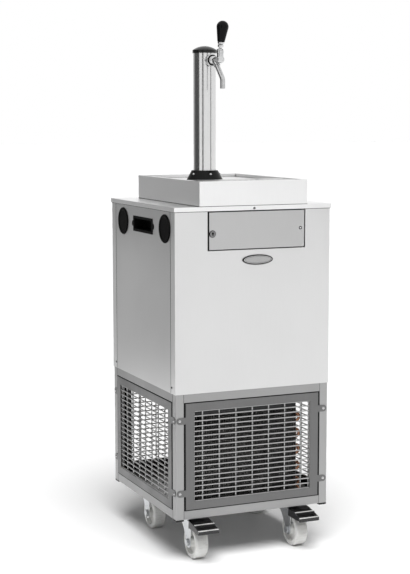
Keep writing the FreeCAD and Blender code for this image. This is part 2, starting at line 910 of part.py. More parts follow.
def make_caster_plates():
    """Top plates with the upper race and the kingpin riveted into each."""
    body = add_body("caster_plate")
    outline = sketch_on(body, "XY_Plane", plate_foot)
    half_x = s.caster_plate_width / 2
    half_y = s.caster_plate_depth / 2
    draw_loop(outline, rounded_box(-half_x, -half_y, half_x, half_y, s.caster_plate_round))
    for bolt_x, bolt_y in bolt_places():
        draw_circle(outline, bolt_x, bolt_y, (s.bolt_diameter + s.bolt_clearance) / 2)
    pad(body, outline, s.caster_plate_thickness)
    section = sketch_on(body, "XZ_Plane")
    pin = s.kingpin_diameter / 2
    head = s.kingpin_head_diameter / 2
    head_top = crown_foot - s.race_gap
    head_foot = head_top - s.kingpin_head_height
    draw_loop(section, [(ZERO, head_foot), (head, head_foot), (head, head_top), (pin, head_top), (pin, race_foot),
                        (s.race_lower_radius, race_foot), (s.race_radius, plate_foot - s.race_height / 3),
                        (s.race_radius, plate_foot), (ZERO, plate_foot)])
    revolve(body, section, "V_Axis")
    places = [place_at(centre_x, centre_y, ZERO) for _, centre_x, centre_y in caster_places()]
    publish("caster_plates", gather_copies("caster_plates", body, places))


def hexagon(sketch, across, up, flats):
    """Draw a hexagon by the distance over its flats."""
    radius = flats / math.sqrt(3)
    corners = [(across + radius * math.cos(math.radians(60 * turn)), up + radius * math.sin(math.radians(60 * turn)))
               for turn in range(6)]
    draw_loop(sketch, corners)


def make_caster_bolts():
    """Hexagon bolts through the caster plates into weld nuts on the base plate."""
    bolt = add_body("caster_bolt")
    head = sketch_on(bolt, "XY_Plane", plate_foot)
    hexagon(head, ZERO, ZERO, s.bolt_head_across)
    pad(bolt, head, s.bolt_head_height, reversed_way=True)
    shank = sketch_on(bolt, "XY_Plane", plate_foot)
    draw_circle(shank, ZERO, ZERO, s.bolt_diameter / 2)
    pad(bolt, shank, s.caster_plate_thickness + s.base_sheet)
    nut = sketch_on(bolt, "XY_Plane", frame_foot + s.base_sheet)
    hexagon(nut, ZERO, ZERO, s.bolt_head_across)
    pad(bolt, nut, s.bolt_head_height)
    places = [place_at(centre_x + bolt_x, centre_y + bolt_y, ZERO)
              for _, centre_x, centre_y in caster_places() for bolt_x, bolt_y in bolt_places()]
    publish("caster_bolts", gather_copies("caster_bolts", bolt, places))


def leg_outline(braked):
    """Side view of a fork leg: a swept back edge, a round boss at the axle and an ear for a brake pin."""
    boss = s.leg_boss_radius
    axle_y = -s.wheel_offset
    front = axle_y - s.leg_front_reach
    back = s.crown_radius - s.tube_wall
    front_edge = [(axle_y - boss, axle_height + boss)]
    if braked:
        ear_y = axle_y - s.pedal_pivot_reach - s.pedal_pin_diameter
        pin_z = axle_height + s.pedal_pivot_rise
        front_edge = [(ear_y, pin_z + s.pedal_pin_diameter), (ear_y, pin_z - s.pedal_pin_diameter)] + front_edge
    return [(back, crown_top), (front, crown_top)] + front_edge + [
            (axle_y - boss, axle_height), Via(axle_y, axle_height - boss), (axle_y + boss, axle_height),
            Via(axle_y + boss + (back - axle_y - boss) * 0.36, axle_height + (crown_foot - axle_height) * 0.6),
            (back, crown_foot - s.crown_thickness)]


def make_fork(name, centre_x, centre_y, swing, braked):
    """Pressed fork: a round crown under the race and two legs, with the axle bolt between them."""
    body = add_body(f"{name}_yoke")
    crown = sketch_on(body, "XY_Plane", crown_foot)
    front = -s.wheel_offset - s.leg_front_reach
    corner = math.sqrt(s.crown_radius.value ** 2 - leg_outer.value ** 2)
    corner = Size(corner, f"sqrt({s.crown_radius.formula} ^ 2 - {leg_outer.formula} ^ 2)")
    draw_loop(crown, [(-leg_outer, front), (leg_outer, front), (leg_outer, corner), Via(ZERO, s.crown_radius),
                      (-leg_outer, corner)])
    draw_circle(crown, ZERO, ZERO, s.kingpin_diameter / 2 + s.running_gap)
    pad(body, crown, s.crown_thickness)
    for side in (-1, 1):
        leg = sketch_on(body, "YZ_Plane", leg_inner if side > 0 else -leg_inner)
        draw_loop(leg, leg_outline(braked))
        pad(body, leg, s.leg_thickness, reversed_way=side < 0)
    holes = sketch_on(body, "YZ_Plane")
    draw_circle(holes, -s.wheel_offset, axle_height, s.axle_diameter / 2 + s.flange_fit)
    if braked:
        draw_circle(holes, -s.wheel_offset - s.pedal_pivot_reach, axle_height + s.pedal_pivot_rise,
                    s.pedal_pin_diameter / 2 + s.running_gap)
    pocket(body, holes, 2 * (leg_outer + s.overrun), both_ways=True)

    axle = add_body(f"{name}_axle")
    shaft = sketch_on(axle, "YZ_Plane")
    draw_circle(shaft, -s.wheel_offset, axle_height, s.axle_diameter / 2)
    pad(axle, shaft, 2 * leg_outer, both_ways=True)
    for side in (-1, 1):
        nut = sketch_on(axle, "YZ_Plane", leg_outer if side > 0 else -leg_outer)
        hexagon(nut, -s.wheel_offset, axle_height, s.axle_nut_across)
        pad(axle, nut, s.axle_nut_height, reversed_way=side < 0)
    fork = gather(name, body, axle)
    publish(name, fork, across=centre_x, deep=centre_y, axis=UPWARD, angle=swing)


def make_wheel(name, centre_x, centre_y, swing):
    """Solid nylon wheel: round-shouldered tread, sunk web and a long hub with a bore."""
    body = add_body(name)
    section = sketch_on(body, "XZ_Plane")
    bore = s.axle_diameter / 2 + s.running_gap
    hub = s.wheel_hub_diameter / 2
    rim = s.wheel_rim_inner_diameter / 2
    half = s.wheel_width / 2
    hub_half = s.wheel_hub_width / 2
    web = s.wheel_web / 2
    shoulder = s.wheel_tread_round
    slack = shoulder * (1 - math.sqrt(0.5))
    draft = s.wheel_tread_round / 2
    draw_loop(section, [(-hub_half, bore), (hub_half, bore), (hub_half, hub - draft), (web, hub), (web, rim - draft),
                        (half, rim), (half, wheel_radius - shoulder), Via(half - slack, wheel_radius - slack),
                        (half - shoulder, wheel_radius), (shoulder - half, wheel_radius),
                        Via(slack - half, wheel_radius - slack), (-half, wheel_radius - shoulder), (-half, rim),
                        (-web, rim - draft), (-web, hub), (-hub_half, hub - draft)])
    revolve(body, section, "H_Axis")
    publish(name, body, across=centre_x + s.wheel_offset * sine(swing),
            deep=centre_y - s.wheel_offset * cosine(swing), up=axle_height, axis=UPWARD, angle=swing)


def tread_over(reach):
    """Height over the pedal's pin that clears the tread by the shoe's gap, at a place along the pedal."""
    ahead = s.pedal_pivot_reach - reach
    return root(wheel_radius * wheel_radius - ahead * ahead) - s.pedal_pivot_rise + s.shoe_gap


def make_brake_pedal(name, centre_x, centre_y):
    """Pressed pedal over the front of the wheel, with side flanges on a pin through the fork legs."""
    body = add_body(name)
    back = s.pedal_back_rise
    sheet_up = s.pedal_sheet
    tip = -s.pedal_length
    tip_up = back - s.pedal_drop
    top = sketch_on(body, "YZ_Plane")
    draw_loop(top, [(sheet_up, back), (sheet_up, back + sheet_up), (-s.pedal_rib_width, back + sheet_up),
                    (tip * 0.55, back + sheet_up - s.pedal_drop * 0.4),
                    (tip * 0.6, back + sheet_up - s.pedal_drop * 0.4 + s.pedal_rib_height),
                    (tip * 0.65, back + sheet_up - s.pedal_drop * 0.55), (tip, tip_up + sheet_up),
                    (tip, tip_up - s.pedal_lip), (tip + sheet_up, tip_up - s.pedal_lip), (tip + sheet_up, tip_up),
                    (tip * 0.6, back - s.pedal_drop * 0.45), (-s.pedal_rib_width, back)])
    pad(body, top, s.pedal_width, both_ways=True)
    flange_inner = leg_outer + s.joggle_gap
    for side in (-1, 1):
        flange = sketch_on(body, "YZ_Plane", flange_inner if side > 0 else -flange_inner)
        draw_loop(flange, [(sheet_up, back + sheet_up), (-s.pedal_rib_width, back + sheet_up),
                           (tip, tip_up + sheet_up), (tip, tip_up - s.pedal_lip), (-s.pedal_flange_length, -s.pedal_lip),
                           (-s.pedal_lip, back - s.pedal_flange_depth), (sheet_up * 2, back - s.pedal_flange_depth)])
        pad(body, flange, s.pedal_sheet, reversed_way=side < 0)
    pin = sketch_on(body, "YZ_Plane")
    draw_circle(pin, ZERO, ZERO, s.pedal_pin_diameter / 2)
    pad(body, pin, 2 * (flange_inner + s.pedal_sheet), both_ways=True)
    shoe = sketch_on(body, "YZ_Plane")
    near = -s.shoe_reach + s.shoe_thickness / 2
    far = -s.shoe_reach - s.shoe_thickness / 2
    draw_loop(shoe, [(near, back), (near, tread_over(near)), (far, tread_over(far)), (far, back)])
    pad(body, shoe, s.shoe_width, both_ways=True)
    publish(name, body, across=centre_x, deep=centre_y - s.wheel_offset - s.pedal_pivot_reach,
            up=axle_height + s.pedal_pivot_rise)


# sheet-metal case

door_left = s.door_left_margin - half_width
door_right = half_width - s.door_right_margin
door_top = lip_foot - s.door_below_lid
door_foot = door_top - s.door_opening_height
panel_inner_x = case_half_width - s.case_sheet
panel_inner_y = case_half_depth - s.case_sheet
screw_line = case_half_depth - s.case_screw_inset
screw_level = frame_top + s.case_screw_rise
lip_screw_level = lip_foot + s.lid_lip / 2 - s.case_sheet
case_screw_hole = s.case_screw_diameter / 2 + s.screw_clearance


def folded_end(body, facing):
    """Fold a front or back panel: a face, two side returns and a foot flange on the frame."""
    outside = facing * case_half_depth
    inside = facing * panel_inner_y
    tail = facing * (case_half_depth - s.case_return)
    section = sketch_on(body, "XY_Plane", frame_top)
    draw_loop(section, [(-case_half_width, outside), (case_half_width, outside), (case_half_width, tail),
                        (panel_inner_x, tail), (panel_inner_x, inside), (-panel_inner_x, inside),
                        (-panel_inner_x, tail), (-case_half_width, tail)])
    pad(body, section, case_top - frame_top)
    foot = sketch_on(body, "XY_Plane", frame_top)
    edge = facing * (panel_inner_y - s.case_flange)
    foot_half = panel_inner_x - 2 * s.joggle_gap - s.case_sheet
    draw_box(foot, -foot_half, inside, foot_half, edge)
    pad(body, foot, s.case_sheet)
    side_holes = sketch_on(body, "YZ_Plane")
    draw_circle(side_holes, facing * screw_line, screw_level, case_screw_hole)
    pocket(body, side_holes, 2 * (case_half_width + s.overrun), both_ways=True)
    lip_hole = sketch_on(body, "XZ_Plane", -facing * case_half_depth)
    draw_circle(lip_hole, ZERO, lip_screw_level, case_screw_hole)
    pocket(body, lip_hole, 2 * (s.case_sheet + s.overrun), both_ways=True)


def make_front_panel():
    """Front of the case, with the opening for the access door and a stop flange beside it."""
    body = add_body("front_panel")
    folded_end(body, -1)
    opening = sketch_on(body, "XZ_Plane", case_half_depth)
    draw_box(opening, door_left, door_foot, door_right, door_top)
    pocket(body, opening, 2 * (s.case_sheet + s.overrun), both_ways=True)
    stop = sketch_on(body, "XY_Plane", door_foot)
    draw_box(stop, door_left - s.case_sheet, -case_half_depth, door_left, s.stop_flange_depth - case_half_depth)
    pad(body, stop, s.door_opening_height)
    publish("front_panel", body)


def fitting_places():
    """Across and up of the cable gland and the beer inlet in the back panel."""
    return {"cable_gland": (-s.fitting_spacing, frame_top + s.fitting_rise),
            "beer_inlet": (s.fitting_spacing, frame_top + s.fitting_rise)}


def make_back_panel():
    """Back of the case, with holes for the cable gland and the beer inlet."""
    body = add_body("back_panel")
    folded_end(body, 1)
    holes = sketch_on(body, "XZ_Plane", -case_half_depth)
    for across, up in fitting_places().values():
        draw_circle(holes, across, up, s.gland_hole_diameter / 2 + s.screw_clearance)
    pocket(body, holes, 2 * (s.case_sheet + s.overrun), both_ways=True)
    publish("back_panel", body)


plug_level = case_top - s.plug_below_case_top
handle_level = case_top - s.handle_below_case_top
plug_places = [-(case_half_depth - s.plug_front_inset), case_half_depth - s.plug_back_inset]


def make_side_panel(name, side):
    """Side of the case: a flat sheet with joggled edges behind the returns, plug holes and a handle opening."""
    body = add_body(name)
    outer = case_half_width
    step = panel_inner_x - s.joggle_gap
    step_in = step - s.case_sheet
    seam = case_half_depth - s.case_return - s.case_seam
    wrap = seam + s.joggle_width
    joint = seam - s.case_sheet
    section = sketch_on(body, "XY_Plane", frame_top)
    outline = [(outer, -seam), (outer, seam), (step, seam), (step, wrap), (step_in, wrap), (step_in, joint),
               (panel_inner_x, joint), (panel_inner_x, -joint), (step_in, -joint), (step_in, -wrap), (step, -wrap),
               (step, -seam)]
    draw_loop(section, [(side * across, deep) for across, deep in outline])
    pad(body, section, case_top - frame_top)
    foot = sketch_on(body, "XY_Plane", frame_top)
    foot_half = joint - s.case_flange
    draw_box(foot, side * panel_inner_x, -foot_half, side * (panel_inner_x - s.case_flange), foot_half)
    pad(body, foot, s.case_sheet)
    openings = sketch_on(body, "YZ_Plane", side * case_half_width)
    for place in plug_places:
        draw_circle(openings, place, plug_level, s.plug_hole_diameter / 2)
    handle_half = s.handle_width / 2 - s.handle_lip + s.handle_hole_clearance
    handle_rise = s.handle_height / 2 - s.handle_lip + s.handle_hole_clearance
    middle = -s.handle_centre_forward
    draw_loop(openings, rounded_box(middle - handle_half, handle_level - handle_rise, middle + handle_half,
                                    handle_level + handle_rise, s.handle_round))
    pocket(body, openings, 2 * (s.case_sheet + s.overrun), both_ways=True)
    screw_holes = sketch_on(body, "YZ_Plane", side * case_half_width)
    for end in (-1, 1):
        draw_circle(screw_holes, end * screw_line, screw_level, case_screw_hole)
    pocket(body, screw_holes, 2 * (2 * s.case_sheet + s.joggle_gap + s.overrun), both_ways=True)
    publish(name, body)


def make_case_screws():
    """Small domed screws through the returns and the lid lip."""
    screw = screw_profile("case_screw", s.case_screw_diameter, s.case_screw_head, s.case_screw_head_height,
                          s.case_screw_length)
    places = []
    for end in (-1, 1):
        places.append(place_at(-case_half_width, end * screw_line, screw_level, FreeCAD.Vector(0, 1, 0), -90))
        places.append(place_at(case_half_width, end * screw_line, screw_level, FreeCAD.Vector(0, 1, 0), 90))
    places.append(place_at(ZERO, -lid_half_depth, lip_screw_level, FreeCAD.Vector(1, 0, 0), 90))
    places.append(place_at(ZERO, lid_half_depth, lip_screw_level, FreeCAD.Vector(1, 0, 0), -90))
    publish("case_screws", gather_copies("case_screws", screw, places))


def make_lid():
    """Folded lid over the case, with a hole for the beer line and holes for its two screws."""
    body = add_body("lid")
    outline = sketch_on(body, "XY_Plane", lip_foot)
    draw_box(outline, -lid_half_width, -lid_half_depth, lid_half_width, lid_half_depth)
    pad(body, outline, s.lid_lip)
    inner_x = lid_half_width - s.lid_sheet
    inner_y = lid_half_depth - s.lid_sheet
    hollow = sketch_on(body, "XY_Plane", lip_foot)
    draw_box(hollow, -inner_x, -inner_y, inner_x, inner_y)
    pocket(body, hollow, s.lid_lip - s.lid_sheet, reversed_way=True)
    line_hole = sketch_on(body, "XY_Plane", lid_top)
    draw_circle(line_hole, -s.tower_left, -s.tower_forward, s.line_hole_radius)
    pocket(body, line_hole, 2 * (s.lid_sheet + s.overrun), both_ways=True)
    screw_holes = sketch_on(body, "XZ_Plane")
    draw_circle(screw_holes, ZERO, lip_screw_level, case_screw_hole)
    pocket(body, screw_holes, 2 * (lid_half_depth + s.overrun), both_ways=True)
    publish("lid", body)


# raised drip top

riser_front = -lid_half_depth + s.lid_sheet
riser_back = riser_front + s.riser_depth
riser_half = s.riser_width / 2


def make_riser():
    """Folded box on the lid: a hemmed rim round a sunk floor that drains the tap."""
    body = add_body("drip_riser")
    outline = sketch_on(body, "XY_Plane", lid_top)
    draw_box(outline, -riser_half, riser_front, riser_half, riser_back)
    pad(body, outline, s.riser_height)
    recess = sketch_on(body, "XY_Plane", riser_top)
    hem = s.riser_hem
    draw_box(recess, -riser_half + hem, riser_front + hem, riser_half - hem, riser_back - hem)
    pocket(body, recess, s.riser_recess)
    sheet_in = s.riser_sheet
    hollow = sketch_on(body, "XY_Plane", lid_top)
    draw_box(hollow, -riser_half + sheet_in, riser_front + sheet_in, riser_half - sheet_in, riser_back - sheet_in)
    pocket(body, hollow, riser_floor - sheet_in - lid_top, reversed_way=True)
    channel = sketch_on(body, "XY_Plane", lid_top)
    draw_box(channel, -riser_half + sheet_in, riser_front + sheet_in, riser_half - sheet_in, riser_back - sheet_in)
    wall = hem - sheet_in
    draw_box(channel, -riser_half + wall, riser_front + wall, riser_half - wall, riser_back - wall)
    pocket(body, channel, s.riser_height - sheet_in, reversed_way=True)
    holes = sketch_on(body, "XY_Plane", riser_floor)
    draw_circle(holes, -s.tower_left, -s.tower_forward, s.line_hole_radius)
    for across, deep in flange_screw_places():
        draw_circle(holes, across, deep, s.flange_screw_diameter / 2 + s.screw_clearance)
    pocket(body, holes, 2 * (sheet_in + s.overrun), both_ways=True)
    publish("drip_riser", body)


def flange_screw_places():
    """Centres of the tower flange's screws, the first at the front."""
    count = int(s.flange_screw_count.value)
    places = []
    for number in range(count):
        turn = math.radians(-90 + 360 * number / count)
        radius = s.flange_screw_circle / 2
        places.append((radius * math.cos(turn) - s.tower_left, radius * math.sin(turn) - s.tower_forward))
    return places


grid_front = riser_front + s.riser_hem + s.grid_gap
grid_back = -s.tower_forward - s.flange_diameter / 2 - s.grid_back_gap
grid_half = riser_half - s.riser_hem - s.grid_gap


def make_drip_grid():
    """Slotted grid on folded sides, lying in the sunk floor in front of the tower."""
    body = add_body("drip_grid")
    outline = sketch_on(body, "XY_Plane", riser_floor)
    draw_box(outline, -grid_half, grid_front, grid_half, grid_back)
    pad(body, outline, s.riser_recess - s.grid_sheet)
    hollow = sketch_on(body, "XY_Plane", riser_floor)
    wall = s.grid_sheet
    draw_box(hollow, -grid_half + wall, grid_front + wall, grid_half - wall, grid_back - wall)
    pocket(body, hollow, s.riser_recess - 2 * wall, reversed_way=True)
    middle = (grid_front + grid_back) / 2
    slots = sketch_on(body, "XY_Plane", riser_top)
    reach = grid_half - s.slot_pitch
    draw_slot(slots, -reach, middle, s.slot_length, s.slot_width)
    first_slot = pocket(body, slots, s.riser_recess / 2)
    repeat(body, first_slot, slots, "H_Axis", 2 * reach, s.slot_count)
    finger_hole = sketch_on(body, "XY_Plane", riser_top)
    draw_circle(finger_hole, s.finger_hole_right, middle, s.finger_hole_diameter / 2)
    pocket(body, finger_hole, s.riser_recess / 2)
    publish("drip_grid", body)


# access door

pivot_x = door_right - s.door_right_gap - s.pivot_inset
pivot_y = -case_half_depth + s.pivot_inset
lock_x = door_left + s.lock_from_edge
lock_level = door_foot + s.lock_rise
door_panel_left = door_left + s.door_left_gap
door_panel_right = door_right - s.door_right_gap
door_panel_foot = door_foot + s.door_end_gap
door_panel_top = door_top - s.door_end_gap


def make_access_door():
    """Folded door: returns along the left, top and foot, with pivot holes and the lock hole."""
    body = add_body("access_door")
    face = sketch_on(body, "XZ_Plane", case_half_depth - s.door_sheet)
    draw_box(face, door_panel_left, door_panel_foot, door_panel_right, door_panel_top)
    pad(body, face, s.door_sheet)
    behind = sketch_on(body, "XZ_Plane", case_half_depth - s.door_sheet)
    fold = s.door_sheet
    draw_loop(behind, [(door_panel_left, door_panel_foot), (door_panel_right, door_panel_foot),
                       (door_panel_right, door_panel_foot + fold), (door_panel_left + fold, door_panel_foot + fold),
                       (door_panel_left + fold, door_panel_top - fold), (door_panel_right, door_panel_top - fold),
                       (door_panel_right, door_panel_top), (door_panel_left, door_panel_top)])
    pad(body, behind, s.door_return - s.door_sheet, reversed_way=True)
    pivots = sketch_on(body, "XY_Plane", (door_panel_foot + door_panel_top) / 2)
    draw_circle(pivots, pivot_x, pivot_y, s.pivot_pin_diameter / 2 + s.running_gap)
    pocket(body, pivots, 2 * s.door_opening_height, both_ways=True)
    lock_hole = sketch_on(body, "XZ_Plane", case_half_depth)
    draw_circle(lock_hole, lock_x, lock_level, s.lock_diameter / 2 + s.running_gap)
    pocket(body, lock_hole, 2 * (s.door_sheet + s.overrun), both_ways=True)
    publish("access_door", body)


def make_door_pivots():
    """Two angle brackets behind the front panel, each with a pin for the door."""
    inner = -panel_inner_y
    left = door_right - s.pivot_arm_width / 2
    right = door_right + s.pivot_arm_width / 2
    brackets = []
    for name, level, upward in (("lower_pivot", door_foot - s.pivot_drop, 1), ("upper_pivot", door_top + s.pivot_drop, -1)):
        body = add_body(name)
        leg = sketch_on(body, "XY_Plane", level)
        draw_box(leg, left, inner, right, inner + s.pivot_arm_sheet)
        pad(body, leg, s.pivot_leg if upward > 0 else case_top - level - s.overrun, reversed_way=upward > 0)
        arm = sketch_on(body, "XY_Plane", level)
        draw_box(arm, left, inner, right, inner + s.pivot_arm_reach)
        pad(body, arm, s.pivot_arm_sheet, reversed_way=upward > 0)
        pin = sketch_on(body, "XY_Plane", level)
        draw_circle(pin, pivot_x, pivot_y, s.pivot_pin_diameter / 2)
        pad(body, pin, s.pivot_drop + s.door_end_gap + s.door_sheet * 3, reversed_way=upward < 0)
        brackets.append(body)
    publish("door_pivots", gather("door_pivots", *brackets))


def make_cam_lock():
    """Quarter-turn lock, unlocked: a slotted head, a barrel through the door and a cam that points up."""
    body = add_body("cam_lock")
    head = sketch_on(body, "XZ_Plane")
    draw_circle(head, ZERO, ZERO, s.lock_head_diameter / 2)
    pad(body, head, s.lock_head_height)
    barrel = sketch_on(body, "XZ_Plane")
    draw_circle(barrel, ZERO, ZERO, s.lock_diameter / 2)
    depth = s.stop_flange_depth + s.cam_gap
    pad(body, barrel, depth, reversed_way=True)
    cam = sketch_on(body, "XZ_Plane", -depth)
    half = s.cam_width / 2
    draw_loop(cam, [(-half, -half), (half, -half), (half, s.cam_reach - half), Via(ZERO, s.cam_reach),
                    (-half, s.cam_reach - half)])
    pad(body, cam, s.cam_thickness, reversed_way=True)
    slot = sketch_on(body, "XZ_Plane", s.lock_head_height)
    draw_box(slot, -s.lock_slot_width / 2, -s.lock_diameter / 3, s.lock_slot_width / 2, s.lock_diameter / 3)
    pocket(body, slot, s.lock_head_height)
    publish("cam_lock", body, across=lock_x, deep=-case_half_depth, up=lock_level)


niche_back = -panel_inner_y + s.niche_depth
niche_left = door_left - s.niche_left_margin
niche_right = door_right - s.niche_right_margin
niche_foot = door_foot - s.niche_end_margin - s.case_sheet
niche_top = door_top + s.niche_end_margin
dial_x = (niche_left + niche_right) / 2
dial_level = (niche_foot + niche_top) / 2


def make_control_niche():
    """Open sheet tray behind the door, with the thermostat's block behind its back."""
    body = add_body("niche_tray")
    outline = sketch_on(body, "XY_Plane", niche_foot)
    draw_box(outline, niche_left, -panel_inner_y, niche_right, niche_back)
    pad(body, outline, niche_top - niche_foot)
    hollow = sketch_on(body, "XZ_Plane", panel_inner_y + s.overrun)
    wall = s.case_sheet
    draw_box(hollow, niche_left + wall, niche_foot + wall, niche_right - wall, niche_top - wall)
    pocket(body, hollow, s.niche_depth + s.overrun - wall)
    relief = sketch_on(body, "XZ_Plane", panel_inner_y + s.overrun)
    draw_box(relief, niche_left - s.overrun, niche_foot + wall, niche_right + s.overrun, niche_top - wall)
    pocket(body, relief, s.niche_side + s.overrun)
    hole = sketch_on(body, "XZ_Plane", -niche_back)
    draw_circle(hole, dial_x, dial_level, s.dial_shaft_diameter / 2 + s.running_gap)
    pocket(body, hole, 2 * (wall + s.overrun), both_ways=True)
    publish("control_niche", gather("control_niche", body, make_thermostat()))


def make_thermostat_dial():
    """Dial with a pointer rib, on a shaft through the niche's back."""
    body = add_body("thermostat_dial")
    section = sketch_on(body, "YZ_Plane")
    radius = s.dial_diameter / 2
    draw_loop(section, [(ZERO, ZERO), (ZERO, radius), (-s.dial_height * 0.3, radius),
                        (-s.dial_height * 0.35, radius * 0.85), (-s.dial_height, radius * 0.75), (-s.dial_height, ZERO)])
    revolve(body, section, "H_Axis")
    shaft = sketch_on(body, "XZ_Plane")
    draw_circle(shaft, ZERO, ZERO, s.dial_shaft_diameter / 2)
    pad(body, shaft, s.dial_shaft_length, reversed_way=True)
    rib = sketch_on(body, "XZ_Plane", s.dial_height)
    draw_box(rib, -s.case_sheet, ZERO, s.case_sheet, radius * 0.7)
    pad(body, rib, s.case_sheet)
    publish("thermostat_dial", body, across=dial_x, deep=niche_back - s.case_sheet - s.race_gap, up=dial_level)


def make_thermostat():
    """Thermostat body behind the niche, bored for the dial's shaft."""
    half = s.thermostat_width / 2
    block = add_block("thermostat_block", (dial_x - half, niche_back, dial_level - half),
                      (dial_x + half, niche_back + s.thermostat_depth, dial_level + half))
    bore = add_cylinder("thermostat_bore", s.dial_shaft_diameter / 2 + s.running_gap,
                        s.dial_shaft_length + s.overrun, (dial_x, niche_back - s.overrun, dial_level), "y")
    return cut("thermostat", block, bore)


# side plugs, handles and badge

def make_side_plugs():
    """Four push-in plastic plugs: a flat rim, a shallow dish and a hollow body in the panel's hole."""
    body = add_body("side_plug")
    section = sketch_on(body, "XZ_Plane")
    rim = s.plug_diameter / 2
    skirt = s.plug_hole_diameter / 2 - s.plug_fit
    lip = s.plug_rim_height
    draw_loop(section, [(ZERO, lip - s.plug_dish), (skirt - s.plug_ring, lip - s.plug_dish), (rim - s.plug_ring, lip),
                        (rim - lip / 2, lip), (rim, lip / 2), (rim, ZERO),
                        (skirt, ZERO), (skirt, -s.plug_depth), (skirt - s.plug_wall, -s.plug_depth),
                        (skirt - s.plug_wall, -s.plug_wall), (ZERO, -s.plug_wall)])
    revolve(body, section, "V_Axis")
    places = []
    for place in plug_places:
        places.append(place_at(-case_half_width, place, plug_level, FreeCAD.Vector(0, 1, 0), -90))
        places.append(place_at(case_half_width, place, plug_level, FreeCAD.Vector(0, 1, 0), 90))
    publish("side_plugs", gather_copies("side_plugs", body, places))


def make_handle_cups():
    """Recessed grips: a moulded cup with a thin rim round its mouth, one on each side."""
    body = add_body("handle_cup")
    half = s.handle_width / 2
    rise = s.handle_height / 2
    cup_half = half - s.handle_lip
    cup_rise = rise - s.handle_lip
    wall = s.handle_wall
    rim = sketch_on(body, "YZ_Plane")
    ear = s.handle_ear_radius
    tip = half + s.handle_ear_reach
    draw_loop(rim, [(-half, -rise), (half, -rise), (half, -ear), Via(tip, ZERO), (half, ear), (half, rise),
                    (-half, rise), (-half, ear), Via(-tip, ZERO), (-half, -ear)])
    pad(body, rim, s.handle_rim)
    cup = sketch_on(body, "YZ_Plane")
    draw_loop(cup, rounded_box(-cup_half, -cup_rise, cup_half, cup_rise, s.handle_round))
    pad(body, cup, s.handle_depth, reversed_way=True)
    hollow = sketch_on(body, "YZ_Plane", s.handle_rim)
    draw_loop(hollow, rounded_box(-cup_half + wall, -cup_rise + wall, cup_half - wall, cup_rise - wall,
                                  s.handle_round - wall))
    pocket(body, hollow, s.handle_rim + s.handle_depth - wall)
    places = [place_at(side * case_half_width, -s.handle_centre_forward, handle_level, angle=90 - side * 90)
              for side in (-1, 1)]
    publish("handle_cups", gather_copies("handle_cups", body, places))


def make_badge():
    """Bare oval badge plate on the front."""
    body = add_body("badge_plate")
    outline = sketch_on(body, "XZ_Plane")
    long_half = s.badge_width / 2
    short_half = s.badge_height / 2
    ellipse = outline.addGeometry(Part.Ellipse(FreeCAD.Vector(0, 0, 0), long_half.value, short_half.value))
    outline.exposeInternalGeometry(ellipse)
    outline.addConstraint(Sketcher.Constraint("Coincident", ellipse, 3, -1, 1))
    tie_point(outline, ellipse + 1, 1, (long_half, ZERO))
    index = outline.addConstraint(Sketcher.Constraint("DistanceY", -1, 1, ellipse + 2, 1, short_half.value))
    bind(outline, f"Constraints[{index}]", short_half)
    pad(body, outline, s.badge_thickness)
    fillet(body, lambda edge: lies_at(edge, "y", -s.badge_thickness), s.badge_thickness * 0.6)
    publish("badge_plate", body, across=s.badge_right, deep=-case_half_depth, up=door_foot - s.badge_below_door)


# tap tower, about the column's own axis

column_top = riser_floor + s.column_height
tap_level = column_top - s.tap_below_column_top
column_radius = s.column_diameter / 2


def make_tower_flange():
    """Conical plastic foot round the column, with counterbored screw holes."""
    body = add_body("tower_flange")
    section = sketch_on(body, "XZ_Plane")
    bore = column_radius + s.flange_fit
    foot = s.flange_diameter / 2
    top = s.flange_top_diameter / 2
    draw_loop(section, [(bore, ZERO), (foot, ZERO), (foot, s.flange_rim), (top, s.flange_height), (bore, s.flange_height)])
    revolve(body, section, "V_Axis")
    holes = sketch_on(body, "XY_Plane")
    seats = sketch_on(body, "XY_Plane", flange_seat)
    for across, deep in flange_screw_places():
        centre = (across + s.tower_left, deep + s.tower_forward)
        draw_circle(holes, *centre, s.flange_screw_diameter / 2 + s.screw_clearance)
        draw_circle(seats, *centre, s.flange_screw_head / 2 + s.screw_clearance)
    pocket(body, holes, s.flange_height + s.overrun, reversed_way=True)
    pocket(body, seats, s.flange_height, reversed_way=True)
    publish("tower_flange", body, across=-s.tower_left, deep=-s.tower_forward, up=riser_floor)


cone_drop_share = (s.flange_screw_circle - s.flange_top_diameter) / (s.flange_diameter - s.flange_top_diameter)
flange_seat = s.flange_height - cone_drop_share * (s.flange_height - s.flange_rim) - s.flange_screw_head * 0.55


def make_flange_screws():
    """Domed screws that hold the tower's foot to the drip top."""
    screw = screw_profile("flange_screw", s.flange_screw_diameter, s.flange_screw_head, s.flange_screw_head * 0.6,
                          flange_seat + s.riser_sheet * 2)
    places = [place_at(across, deep, riser_floor + flange_seat) for across, deep in flange_screw_places()]
    publish("flange_screws", gather_copies("flange_screws", screw, places))


def make_column():
    """Brushed tube of the tower, drilled for the tap's shank."""
    body = add_body("tower_column")
    section = sketch_on(body, "XY_Plane")
    draw_circle(section, ZERO, ZERO, column_radius)
    draw_circle(section, ZERO, ZERO, column_radius - s.column_wall)
    pad(body, section, s.column_height)
    hole = sketch_on(body, "XZ_Plane")
    draw_circle(hole, ZERO, s.column_height - s.tap_below_column_top, s.shank_diameter / 2 + s.flange_fit)
    pocket(body, hole, column_radius + s.overrun, reversed_way=True)
    publish("tower_column", body, across=-s.tower_left, deep=-s.tower_forward, up=riser_floor)


